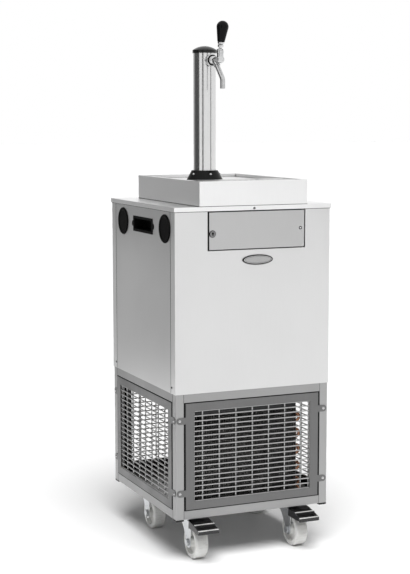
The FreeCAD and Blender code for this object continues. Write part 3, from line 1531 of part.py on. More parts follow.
def make_tower_cap():
    """Domed plastic cap with a hollow plug inside the column's mouth."""
    body = add_body("tower_cap")
    section = sketch_on(body, "XZ_Plane")
    outer = s.tower_cap_diameter / 2
    plug = column_radius - s.column_wall - s.flange_fit
    inner = plug - s.tower_cap_wall
    skirt_in = column_radius + s.flange_fit
    draw_loop(section, [(ZERO, s.tower_cap_dome), dome_via(outer, ZERO, s.tower_cap_dome), (outer, ZERO),
                        (outer, -s.tower_cap_skirt), (skirt_in, -s.tower_cap_skirt), (skirt_in, ZERO), (plug, ZERO),
                        (plug, -s.tower_cap_plug), (inner, -s.tower_cap_plug), (inner, ZERO), (ZERO, ZERO)])
    revolve(body, section, "V_Axis")
    publish("tower_cap", body, across=-s.tower_left, deep=-s.tower_forward, up=column_top)


# tap, about the crossing of the column's axis and the tap's axis, forward along -Y

collar_back = column_radius + s.flange_fit
collar_front = column_radius + s.collar_length
nut_back = collar_front - s.collar_dish
tap_front = collar_front + s.tap_length
ball_y = -s.ball_forward
spout_turn = math.sqrt(0.5)


def publish_on_tap(name, thing):
    """Set a piece at the tap's crossing with the column's axis."""
    publish(name, thing, across=-s.tower_left, deep=-s.tower_forward, up=tap_level)


def make_tap_shank():
    """Bored shank through the column's wall into the collar."""
    body = add_body("tap_shank")
    section = sketch_on(body, "XZ_Plane", column_radius - s.shank_tail)
    draw_circle(section, ZERO, ZERO, s.shank_diameter / 2)
    draw_circle(section, ZERO, ZERO, s.shank_bore / 2)
    pad(body, section, s.shank_tail + s.collar_length - s.collar_dish)
    publish_on_tap("tap_shank", body)


def make_tap_collar():
    """Union ring between the column and the tap, dished in front and hollowed to the column behind."""
    body = add_body("collar_turning")
    section = sketch_on(body, "YZ_Plane")
    wide = s.collar_diameter / 2
    neck = s.collar_neck_diameter / 2
    bore = s.shank_diameter / 2 + s.flange_fit
    back = -(collar_back - s.collar_diameter / 4)
    front = -collar_front
    ring_back = front + s.collar_ring_length
    lip = s.collar_lip
    bulge = lip * (1 - math.sqrt(0.5))
    draw_loop(section, [(back, bore), (back, neck), (ring_back, neck), (ring_back, wide - lip / 2),
                        (ring_back - lip / 2, wide), (front + lip, wide), Via(front + bulge, wide - bulge),
                        (front, wide - lip), (-nut_back, wide - 1.5 * lip), (-nut_back, bore)])
    revolve(body, section, "H_Axis")
    saddle = add_cylinder("collar_saddle", collar_back, 2 * s.collar_diameter, (ZERO, ZERO, -s.collar_diameter))
    publish_on_tap("tap_collar", cut("tap_collar", body, saddle))


def make_tap_body():
    """Ribbed nut, neck and front of the tap, with a ball socket, a slot for the stem and a slanted spout socket."""
    barrel = add_body("tap_barrel")
    section = sketch_on(barrel, "YZ_Plane")
    radius = s.tap_diameter / 2
    nose = s.tap_nose
    rib = s.tap_nut_rib
    crest = s.tap_nut_diameter / 2
    valley = crest - s.tap_nut_groove
    neck = s.tap_neck_diameter / 2
    outline = [(-nut_back, ZERO)]
    place = nut_back
    for number in range(3):
        outline += [(-place, valley), (-place - rib / 2, crest), (-place - rib, crest),
                    (-place - 1.5 * rib, valley)]
        place = place + 2 * rib
    front_back = tap_front - s.tap_front_length
    outline += [(-place, valley), (-place - rib, neck), (-front_back, neck), (-front_back - nose / 2, radius),
                (-tap_front + nose, radius), Via(-tap_front + nose * 0.3, radius - nose * 0.3),
                (-tap_front, radius - nose), (-tap_front, ZERO)]
    draw_loop(section, outline)
    revolve(barrel, section, "H_Axis")
    ball_up = s.ball_rise
    bonnet = add_cylinder("tap_bonnet", s.bonnet_diameter / 2, ball_up + s.bonnet_above_ball, (ZERO, ball_y, ZERO))
    ring_foot = ball_up + s.bonnet_above_ball - s.bonnet_ring_height - s.ball_radius / 2
    ring = add_cylinder("bonnet_ring", s.bonnet_ring_diameter / 2, s.bonnet_ring_height, (ZERO, ball_y, ring_foot))
    spout_boss = add_cylinder("spout_boss", s.spout_socket_diameter / 2, s.spout_socket_length, (ZERO, ZERO, ZERO))
    spout_boss.Placement = FreeCAD.Placement(FreeCAD.Vector(0, 0, 0), FreeCAD.Rotation(FreeCAD.Vector(1, 0, 0), 135))
    bind(spout_boss, "Placement.Base.y", -s.spout_from_tower)
    solid = fuse("tap_solid", barrel, bonnet, ring, spout_boss)
    ball_seat = doc.addObject("Part::Sphere", "ball_seat")
    bind(ball_seat, "Radius", s.ball_radius + s.ball_gap)
    bind(ball_seat, "Placement.Base.y", ball_y)
    bind(ball_seat, "Placement.Base.z", ball_up)
    slot_half = s.lever_slot_width / 2
    slot = add_block("lever_slot", (-slot_half, ball_y - s.bonnet_diameter, ball_up - s.ball_gap),
                     (slot_half, ball_y + slot_half, ball_up + s.bonnet_diameter))
    spout_bore = add_cylinder("spout_seat", s.spout_diameter / 2 + s.flange_fit, s.spout_socket_depth + s.overrun,
                              (ZERO, ZERO, ZERO))
    spout_bore.Placement = FreeCAD.Placement(FreeCAD.Vector(0, 0, 0), FreeCAD.Rotation(FreeCAD.Vector(1, 0, 0), 135))
    start = (s.spout_socket_length - s.spout_socket_depth) * spout_turn
    bind(spout_bore, "Placement.Base.y", -s.spout_from_tower - start)
    bind(spout_bore, "Placement.Base.z", -start)
    publish_on_tap("tap_body", cut("tap_body", solid, ball_seat, slot, spout_bore))


def make_tap_spout():
    """Bent spout: a slanted run from its socket, one bend and a straight drop."""
    body = add_body("tap_spout")
    start = (s.spout_socket_length - s.spout_socket_depth) * spout_turn
    first = (-s.spout_from_tower - start, -start)
    knee_y = -s.spout_from_tower - s.spout_reach
    knee = (knee_y, -s.spout_reach)
    trim = s.spout_bend_radius * math.tan(math.radians(22.5))
    bend_in = (knee_y + trim * spout_turn, -s.spout_reach + trim * spout_turn)
    bend_out = (knee_y, -s.spout_reach - trim)
    centre_y = knee_y + s.spout_bend_radius
    middle = (centre_y - s.spout_bend_radius * math.cos(math.radians(22.5)),
              -s.spout_reach - trim + s.spout_bend_radius * math.sin(math.radians(22.5)))
    path = sketch_on(body, "YZ_Plane")
    run = path.addGeometry(Part.LineSegment(flat(first), flat(bend_in)))
    bend = path.addGeometry(Part.Arc(flat(bend_in), flat(middle), flat(bend_out)))
    drop = path.addGeometry(Part.LineSegment(flat(bend_out), flat((knee_y, -s.spout_below_tap))))
    tie_point(path, run, 1, first)
    tie_point(path, run, 2, bend_in)
    tie_point(path, drop, 1, bend_out)
    tie_point(path, drop, 2, (knee_y, -s.spout_below_tap))
    bend_start = 1 if (path.getPoint(bend, 1) - flat(bend_in)).Length < 1e-6 else 2
    path.addConstraint(Sketcher.Constraint("Coincident", run, 2, bend, bend_start))
    path.addConstraint(Sketcher.Constraint("Coincident", bend, 3 - bend_start, drop, 1))
    end = sketch_on(body, "XY_Plane", -s.spout_below_tap)
    draw_circle(end, ZERO, knee_y, s.spout_diameter / 2)
    draw_circle(end, ZERO, knee_y, s.spout_bore / 2)
    sweep = body.newObject("PartDesign::AdditivePipe", "tap_spout_sweep")
    sweep.Profile = end
    sweep.Spine = (path, ["Edge1", "Edge2", "Edge3"])
    doc.recompute()
    publish_on_tap("tap_spout", body)


lever_place = (-s.tower_left, -s.tower_forward + ball_y, tap_level + s.ball_rise)


def publish_on_lever(name, thing):
    """Set a piece at the lever's ball, leaning forward as the lever does at rest."""
    publish(name, thing, *lever_place, axis=FreeCAD.Vector(1, 0, 0), angle=s.lever_tilt)


def make_tap_lever():
    """Ball and stem of the lever, with a collar under the knob."""
    body = add_body("tap_lever")
    section = sketch_on(body, "XZ_Plane")
    ball = s.ball_radius
    stem = s.stem_diameter / 2
    meet = math.sqrt(ball.value ** 2 - stem.value ** 2)
    meet = Size(meet, f"sqrt({ball.formula} ^ 2 - {stem.formula} ^ 2)")
    foot = s.ferrule_foot_diameter / 2
    wide = s.ferrule_diameter / 2
    top = s.stem_length
    low = top - s.ferrule_length
    waist = low + s.ferrule_length / 2
    groove = s.ferrule_groove
    end = top + s.stem_thread_length
    draw_loop(section, [(ZERO, -ball), Via(ball, ZERO), (stem, meet), (stem, low), (foot, low),
                        (wide - groove, low + groove), (wide - groove, waist - groove), (wide - 2 * groove, waist),
                        (wide - groove, waist + groove), (wide, waist + 2 * groove), (wide, top), (stem, top),
                        (stem, end), (ZERO, end)])
    revolve(body, section, "V_Axis")
    publish_on_lever("tap_lever", body)


def make_lever_knob():
    """Pear-shaped plastic knob screwed on the stem."""
    body = add_body("lever_knob")
    section = sketch_on(body, "XZ_Plane")
    foot = s.knob_foot_diameter / 2
    wide = s.knob_diameter / 2
    length = s.knob_length
    low = s.stem_length
    bore = s.stem_diameter / 2 + s.flange_fit
    bore_top = low + s.stem_thread_length + s.overrun
    belly = low + length - wide
    drop = belly - low
    span = root(drop * drop + foot * foot)
    taper = Size(math.degrees(math.asin(wide.value / span.value) - math.atan(foot.value / drop.value)),
                 f"(asin({(wide / span).formula}) - atan({(foot / drop).formula}))")
    turn_x = wide * cosine(taper)
    turn_z = belly - wide * sine(taper)
    draw_loop(section, [(bore, low), (foot, low), (turn_x, turn_z), dome_via(turn_x, turn_z, low + length - turn_z),
                        (ZERO, low + length), (ZERO, bore_top), (bore, bore_top)])
    revolve(body, section, "V_Axis")
    publish_on_lever("lever_knob", body)


# water bath

bath_foot = frame_top
bath_top = bath_foot + s.bath_height
bath_half_x = panel_inner_x - s.case_flange - s.bath_flange_gap
bath_half_y = panel_inner_y - s.case_flange - s.bath_flange_gap
liner_foot = bath_foot + s.bath_wall
coil_foot = liner_foot + s.liner_sheet
cover_top = bath_top + s.bath_cover
liner_half_x = bath_half_x - s.bath_wall - s.fit_gap
liner_half_y = bath_half_y - s.bath_wall - s.fit_gap
bath_inner_x = liner_half_x - s.liner_sheet
bath_inner_y = liner_half_y - s.liner_sheet


def make_open_box(name, half_x, half_y, foot, top, wall):
    """An open-topped box with one wall thickness."""
    body = add_body(name)
    outline = sketch_on(body, "XY_Plane", foot)
    draw_box(outline, -half_x, -half_y, half_x, half_y)
    pad(body, outline, top - foot)
    hollow = sketch_on(body, "XY_Plane", top)
    draw_box(hollow, -half_x + wall, -half_y + wall, half_x - wall, half_y - wall)
    pocket(body, hollow, top - foot - wall)
    return body


def make_bath():
    """Foam body standing on the frame, its steel liner and its cover."""
    foam = make_open_box("bath_foam", bath_half_x, bath_half_y, bath_foot, bath_top, s.bath_wall)
    liner = make_open_box("bath_liner", liner_half_x, liner_half_y, liner_foot, bath_top, s.liner_sheet)
    publish("insulated_tank", gather("insulated_tank", foam, liner))
    cover = add_body("tank_cover")
    outline = sketch_on(cover, "XY_Plane", bath_top)
    draw_box(outline, -bath_half_x, -bath_half_y, bath_half_x, bath_half_y)
    draw_circle(outline, s.agitator_right, s.agitator_back, s.agitator_shaft_diameter)
    draw_circle(outline, *line_start(), s.line_hole_radius)
    pad(cover, outline, s.bath_cover)
    publish("tank_cover", cover)


def make_coil(name, gap, height, corner):
    """A coil's closed outer form: a sleeve of one tube's thickness that follows the bath's walls."""
    body = add_body(name)
    outline = sketch_on(body, "XY_Plane", coil_foot)
    half_x = bath_inner_x - gap
    half_y = bath_inner_y - gap
    tube = s.coil_tube
    draw_loop(outline, rounded_box(-half_x, -half_y, half_x, half_y, corner))
    draw_loop(outline, rounded_box(tube - half_x, tube - half_y, half_x - tube, half_y - tube, corner - tube))
    pad(body, outline, height)
    publish(name, body)


def line_start():
    """Where the beer line leaves the coil: on its left side, level with the tower."""
    return (s.beer_coil_gap + s.coil_tube / 2 - bath_inner_x, -s.tower_forward)


def make_beer_line():
    """Tube from the coil up through the covers and the column to the tap's shank."""
    start_x, start_y = (size.value for size in line_start())
    tower_x = -s.tower_left.value
    tower_y = -s.tower_forward.value
    coil_top = (coil_foot + s.beer_coil_height).value
    bend = s.shank_diameter.value
    points = [FreeCAD.Vector(start_x, start_y, coil_top),
              FreeCAD.Vector(start_x, start_y, cover_top.value + bend),
              FreeCAD.Vector(tower_x, tower_y, lid_top.value - bend),
              FreeCAD.Vector(tower_x, tower_y, tap_level.value),
              FreeCAD.Vector(tower_x, tower_y - column_radius.value + s.shank_tail.value, tap_level.value)]
    radii = [bend * 2, bend * 2, bend]
    edges = []
    last = points[0]
    for before, corner, after, radius in zip(points, points[1:], points[2:], radii):
        to_start = (before - corner).normalize()
        to_end = (after - corner).normalize()
        half_angle = to_start.getAngle(to_end) / 2
        trim = radius / math.tan(half_angle)
        middle_way = (to_start + to_end).normalize()
        arc_middle = corner + middle_way * (radius / math.sin(half_angle) - radius)
        arc_start = corner + to_start * trim
        arc_end = corner + to_end * trim
        edges.append(Part.LineSegment(last, arc_start).toShape())
        edges.append(Part.Arc(arc_start, arc_middle, arc_end).toShape())
        last = arc_end
    if (points[-1] - last).Length > s.fit_gap.value:
        edges.append(Part.LineSegment(last, points[-1]).toShape())
    path = Part.Wire(edges)
    ring = Part.Wire(Part.makeCircle(s.coil_tube.value / 2, points[0], FreeCAD.Vector(0, 0, 1)))
    tube = path.makePipeShell([ring], True, True)
    line = doc.addObject("Part::Feature", "beer_line")
    line.Shape = tube
    ideal = math.pi * (s.coil_tube.value / 2) ** 2 * path.Length
    print(f"beer line: length {path.Length:.1f} mm, bend radii {radii}, volume ratio {tube.Volume / ideal:.4f}")
    publish("beer_line", line)


def make_agitator():
    """Motor on the bath's cover and a shaft with a four-blade stirrer hanging from it."""
    motor_x = s.agitator_right
    motor_y = s.agitator_back
    shaft_radius = s.agitator_shaft_diameter / 2
    motor = add_cylinder("agitator_housing", s.agitator_motor_diameter / 2, s.agitator_motor_height,
                         (motor_x, motor_y, cover_top))
    bore = add_cylinder("agitator_bore", shaft_radius + s.running_gap, s.agitator_shaft_entry + s.overrun,
                        (motor_x, motor_y, cover_top - s.overrun))
    publish("agitator_motor", cut("agitator_motor", motor, bore))

    stirrer = add_body("agitator_shaft")
    rod = sketch_on(stirrer, "XY_Plane")
    draw_circle(rod, ZERO, ZERO, shaft_radius)
    pad(stirrer, rod, s.agitator_shaft_length)
    for blade in range(2):
        plan = sketch_on(stirrer, "XY_Plane")
        half = s.agitator_blade_thickness / 2
        reach = s.agitator_blade_reach
        if blade == 0:
            draw_box(plan, -reach, -half, reach, half)
        else:
            draw_box(plan, -half, -reach, half, reach)
        pad(stirrer, plan, s.agitator_blade_height)
    publish("agitator_shaft", stirrer, across=motor_x, deep=motor_y,
            up=cover_top + s.agitator_shaft_entry - s.fit_gap - s.agitator_shaft_length)


# refrigeration set

floor_top = frame_foot + s.base_sheet
condenser_width = s.frame_width - s.condenser_left_margin - s.condenser_right_margin
condenser_middle = (s.condenser_left_margin - s.condenser_right_margin) / 2
condenser_front = s.condenser_inset - half_depth
condenser_back = condenser_front + s.condenser_thickness
condenser_foot = floor_top + s.condenser_lift
fan_level = condenser_foot + s.condenser_height / 2
shroud_back = condenser_back + s.fan_sheet
ring_outer = s.condenser_height / 2 - s.fan_end_margin
ring_inner = ring_outer - s.fan_sheet
fan_radius = ring_inner - s.fan_tip_gap
foot_middle_share = 0.4


def make_compressor():
    """Hermetic pot with a welded waist, a domed top and a foot plate on rubber blocks."""
    body = add_body("compressor_pot")
    section = sketch_on(body, "XZ_Plane")
    radius = s.compressor_diameter / 2
    foot = s.compressor_foot_height
    height = s.compressor_height
    waist = foot + height * 0.45
    lid_rim = radius * 0.98
    lid_rise = radius * 0.5
    draw_loop(section, [(ZERO, foot), (radius * 0.8, foot), Via(radius * 0.94, foot + radius * 0.1),
                        (radius, foot + radius * 0.3), (radius, waist), (radius * 1.05, waist),
                        (radius * 1.05, waist + s.condenser_lift), (lid_rim, waist + s.condenser_lift),
                        (lid_rim, height - lid_rise), dome_via(lid_rim, height - lid_rise, lid_rise), (ZERO, height)])
    revolve(body, section, "V_Axis")
    plate = sketch_on(body, "XY_Plane", foot - s.base_sheet)
    draw_loop(plate, rounded_box(-radius, -radius * 0.85, radius, radius * 0.85, s.compressor_foot_width / 2))
    pad(body, plate, s.base_sheet)
    blocks = sketch_on(body, "XY_Plane")
    inset = s.compressor_foot_width * 0.6
    for side in (-1, 1):
        for end in (-1, 1):
            draw_circle(blocks, side * (radius - inset), end * (radius * 0.85 - inset), s.compressor_foot_width / 2)
    pad(body, blocks, foot - s.base_sheet)
    publish("compressor", body, across=s.compressor_right, deep=s.compressor_back, up=floor_top)


def publish_facing_back(name, thing, deep, up):
    """Set a piece that was drawn facing right so that it faces the back, on the condenser's middle."""
    publish(name, thing, across=condenser_middle, deep=deep, up=up, axis=UPWARD, angle=90)


def make_condenser():
    """Finned block on two feet, its fins standing out in front of and behind the core."""
    half = condenser_width / 2
    thick = s.condenser_thickness
    body = add_body("condenser_core")
    core = sketch_on(body, "XY_Plane")
    draw_box(core, s.fin_overhang, -half, thick - s.fin_overhang, half)
    pad(body, core, s.condenser_height)
    first_fin = sketch_on(body, "XY_Plane")
    draw_box(first_fin, ZERO, -half, thick, s.fin_thickness - half)
    fin = pad(body, first_fin, s.condenser_height)
    repeat(body, fin, first_fin, "V_Axis", condenser_width - s.fin_thickness, s.fin_count)
    stand = sketch_on(body, "XY_Plane")
    foot = half * foot_middle_share
    draw_box(stand, ZERO, -foot, thick, s.fin_overhang - foot)
    draw_box(stand, ZERO, foot - s.fin_overhang, thick, foot)
    pad(body, stand, s.condenser_lift, reversed_way=True)
    publish_facing_back("condenser", body, condenser_front, condenser_foot)


def make_fan_shroud():
    """Sheet behind the condenser with a round venturi ring for the fan."""
    body = add_body("fan_shroud")
    half = condenser_width / 2
    plate = sketch_on(body, "YZ_Plane")
    draw_box(plate, -half, ZERO, half, s.condenser_height)
    middle = s.condenser_height / 2
    draw_circle(plate, ZERO, middle, ring_inner)
    pad(body, plate, s.fan_sheet)
    throat = sketch_on(body, "YZ_Plane")
    draw_circle(throat, ZERO, middle, ring_outer)
    draw_circle(throat, ZERO, middle, ring_inner)
    pad(body, throat, s.fan_ring_depth)
    return body


def make_fan_motor():
    """Motor behind the fan, held on the ring by four flat arms."""
    body = add_body("fan_motor")
    middle = s.condenser_height / 2
    radius = s.fan_motor_diameter / 2
    back = s.fan_ring_depth
    can = sketch_on(body, "YZ_Plane", back)
    draw_circle(can, ZERO, middle, radius)
    pad(body, can, s.fan_motor_length)
    for upright in (True, False):
        arms = sketch_on(body, "YZ_Plane", back)
        half = s.fan_arm_width / 2
        if upright:
            draw_box(arms, -half, middle - ring_outer, half, middle + ring_outer)
        else:
            draw_box(arms, -ring_outer, middle - half, ring_outer, middle + half)
        pad(body, arms, s.base_sheet)
    bore = sketch_on(body, "YZ_Plane", back)
    draw_circle(bore, ZERO, middle, s.fan_shaft_diameter / 2 + s.running_gap)
    pocket(body, bore, s.fan_motor_length / 2, reversed_way=True)
    return body


def make_fan_housing():
    """Shroud and motor of the condenser's fan, two fixed pieces of one carrier."""
    housing = gather("fan_housing", make_fan_shroud(), make_fan_motor())
    publish_facing_back("fan_housing", housing, condenser_back, condenser_foot)


def make_fan_blades():
    """Hub, shaft and pitched blades, each blade lofted from a steep root to a flat tip."""
    hub_radius = s.fan_hub_diameter.value / 2
    tip_radius = fan_radius.value
    depth = s.fan_hub_depth.value
    half = s.fan_blade_thickness.value / 2
    axis = FreeCAD.Vector(1, 0, 0)
    hub = Part.makeCylinder(hub_radius, depth, FreeCAD.Vector(0, 0, 0), axis)
    bore_end = s.fan_ring_depth.value + s.fan_motor_length.value / 2
    shaft_length = bore_end - 2 * s.fan_sheet.value - depth - 2 * s.fit_gap.value
    shaft = Part.makeCylinder(s.fan_shaft_diameter.value / 2, shaft_length, FreeCAD.Vector(depth, 0, 0), axis)

    def section(radius, chord, pitch):
        """A blade's flat section at one radius."""
        corners = []
        for along, out in ((-chord / 2, -half), (chord / 2, -half), (chord / 2, half), (-chord / 2, half)):
            deep = along * math.sin(pitch) + out * math.cos(pitch)
            across = along * math.cos(pitch) - out * math.sin(pitch)
            corners.append(FreeCAD.Vector(depth / 2 + deep, across, radius))
        return Part.makePolygon(corners + corners[:1])

    root = section(hub_radius * 0.9, s.fan_blade_root.value, math.radians(38))
    tip = section(tip_radius, s.fan_blade_tip.value, math.radians(16))
    blade = Part.makeLoft([root, tip], True, True)
    count = int(s.fan_blade_count.value)
    fan = hub.fuse(shaft)
    for number in range(count):
        turned = blade.copy()
        turned.rotate(FreeCAD.Vector(0, 0, 0), axis, 360 * number / count)
        fan = fan.fuse(turned)
    swept = Part.makeCylinder(tip_radius, depth + shaft_length, FreeCAD.Vector(0, 0, 0), axis)
    feature = doc.addObject("Part::Feature", "fan_blades")
    feature.Shape = fan.common(swept).removeSplitter()
    publish_facing_back("fan_blades", feature, shroud_back + s.fan_sheet, fan_level)


# fittings in the back panel

def make_fittings():
    """A cable gland and a push-in beer inlet, each with a hexagon collar and a threaded tail."""
    for name, (across, up) in fitting_places().items():
        body = add_body(name)
        wide = s.gland_diameter if name == "cable_gland" else s.inlet_diameter
        length = s.gland_length if name == "cable_gland" else s.inlet_length
        collar = sketch_on(body, "XZ_Plane")
        hexagon(collar, ZERO, ZERO, wide)
        pad(body, collar, length / 3, reversed_way=True)
        neck = sketch_on(body, "XZ_Plane")
        draw_circle(neck, ZERO, ZERO, wide * 0.42)
        pad(body, neck, length, reversed_way=True)
        tail = sketch_on(body, "XZ_Plane")
        draw_circle(tail, ZERO, ZERO, s.gland_hole_diameter / 2)
        pad(body, tail, s.gland_length / 2)
        bore = sketch_on(body, "XZ_Plane", -length)
        draw_circle(bore, ZERO, ZERO, s.coil_tube / 2)
        pocket(body, bore, length * 0.8, reversed_way=True)
        publish(name, body, across=across, deep=case_half_depth, up=up)


# build everything

make_corner_posts()
make_frame_rails()
make_post_end_caps()
make_base_plate()
make_grille("front_grille", s.frame_width, half_depth, 0)
make_grille("back_grille", s.frame_width, half_depth, 180)
make_grille("left_grille", s.frame_depth, half_width, -90)
make_grille("right_grille", s.frame_depth, half_width, 90)
make_grille_screws()
make_caster_plates()
make_caster_bolts()
for corner_name, corner_x, corner_y in caster_places():
    is_front = corner_name.startswith("front")
    corner_swing = s.rear_right_swing if corner_name == "rear_right" else ZERO
    make_fork(f"{corner_name}_fork", corner_x, corner_y, corner_swing, is_front)
    make_wheel(f"{corner_name}_wheel", corner_x, corner_y, corner_swing)
    if is_front:
        make_brake_pedal(f"{corner_name}_brake_pedal", corner_x, corner_y)
make_front_panel()
make_back_panel()
make_side_panel("left_panel", -1)
make_side_panel("right_panel", 1)
make_case_screws()
make_lid()
make_riser()
make_drip_grid()
make_access_door()
make_door_pivots()
make_cam_lock()
make_control_niche()
make_thermostat_dial()
make_side_plugs()
make_handle_cups()
make_badge()
make_tower_flange()
make_flange_screws()
make_column()
make_tower_cap()
make_tap_shank()
make_tap_collar()
make_tap_body()
make_tap_spout()
make_tap_lever()
make_lever_knob()
make_bath()
make_coil("beer_coil", s.beer_coil_gap, s.beer_coil_height, s.beer_coil_round)
make_coil("evaporator_coil", s.evaporator_gap, s.evaporator_height, s.evaporator_round)
make_beer_line()
make_agitator()
make_compressor()
make_condenser()
make_fan_housing()
make_fan_blades()
make_fittings()

doc.recompute()

# check every object, then write one file per sub-part

for thing in doc.Objects:
    if "Invalid" in thing.State or "Error" in thing.State:
        raise RuntimeError(f"{thing.Label} did not build: {thing.State}")
names = [thing.Label for thing in nodes]
if len(set(names)) != len(names):
    raise RuntimeError("two sub-parts share a name")
for thing in nodes:
    if thing.Shape.isNull() or not thing.Shape.isValid():
        raise RuntimeError(f"{thing.Label} has no valid shape")
os.makedirs("parts", exist_ok=True)
for thing in nodes:
    thing.Shape.exportStep(f"parts/{thing.Label}.step")
print(f"{len(nodes)} sub-parts written")
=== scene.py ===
"""Looks of a mobile beer cooler with a tap tower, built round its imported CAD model.

Everything is in metres, in the frame of the CAD model: +Z up, the front towards -Y.
"""
import math

import bmesh
import bpy
from mathutils import Matrix, Vector


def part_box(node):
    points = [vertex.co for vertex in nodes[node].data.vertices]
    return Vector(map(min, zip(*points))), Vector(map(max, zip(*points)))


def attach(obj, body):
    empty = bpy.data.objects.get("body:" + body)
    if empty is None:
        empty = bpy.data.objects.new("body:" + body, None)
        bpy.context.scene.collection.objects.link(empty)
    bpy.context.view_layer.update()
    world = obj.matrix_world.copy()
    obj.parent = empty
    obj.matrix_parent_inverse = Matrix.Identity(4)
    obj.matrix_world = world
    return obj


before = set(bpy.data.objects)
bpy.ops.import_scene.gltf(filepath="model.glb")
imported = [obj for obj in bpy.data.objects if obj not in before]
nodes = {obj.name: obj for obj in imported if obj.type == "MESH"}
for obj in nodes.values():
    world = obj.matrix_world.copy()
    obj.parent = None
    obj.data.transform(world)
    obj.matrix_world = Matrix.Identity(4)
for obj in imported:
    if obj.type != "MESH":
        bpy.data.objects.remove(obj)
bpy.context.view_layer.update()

# the photograph's view
CAMERA_PLACE = (-1.7426, -3.9338, 1.3133)
CAMERA_YAW = 23.3157
CAMERA_PITCH = 6.9724
CAMERA_ROLL = -0.0705
CAMERA_LENS = 87.16
CAMERA_SENSOR = 36.0

# the white round the object as the camera sees it, the weak light that it gives, and the floor's own glow
BACKGROUND = 1.0
FILL_LEVEL = 0.15
FLOOR_GLOW = 0.02

MM = 0.001


# short calls for node trees

# sockets of a mix node, which has a set of them for each kind of data
MIX_SHARE = 0
VALUE_A, VALUE_B, VALUE_OUT = 2, 3, 0
COLOUR_A, COLOUR_B, COLOUR_OUT = 6, 7, 2


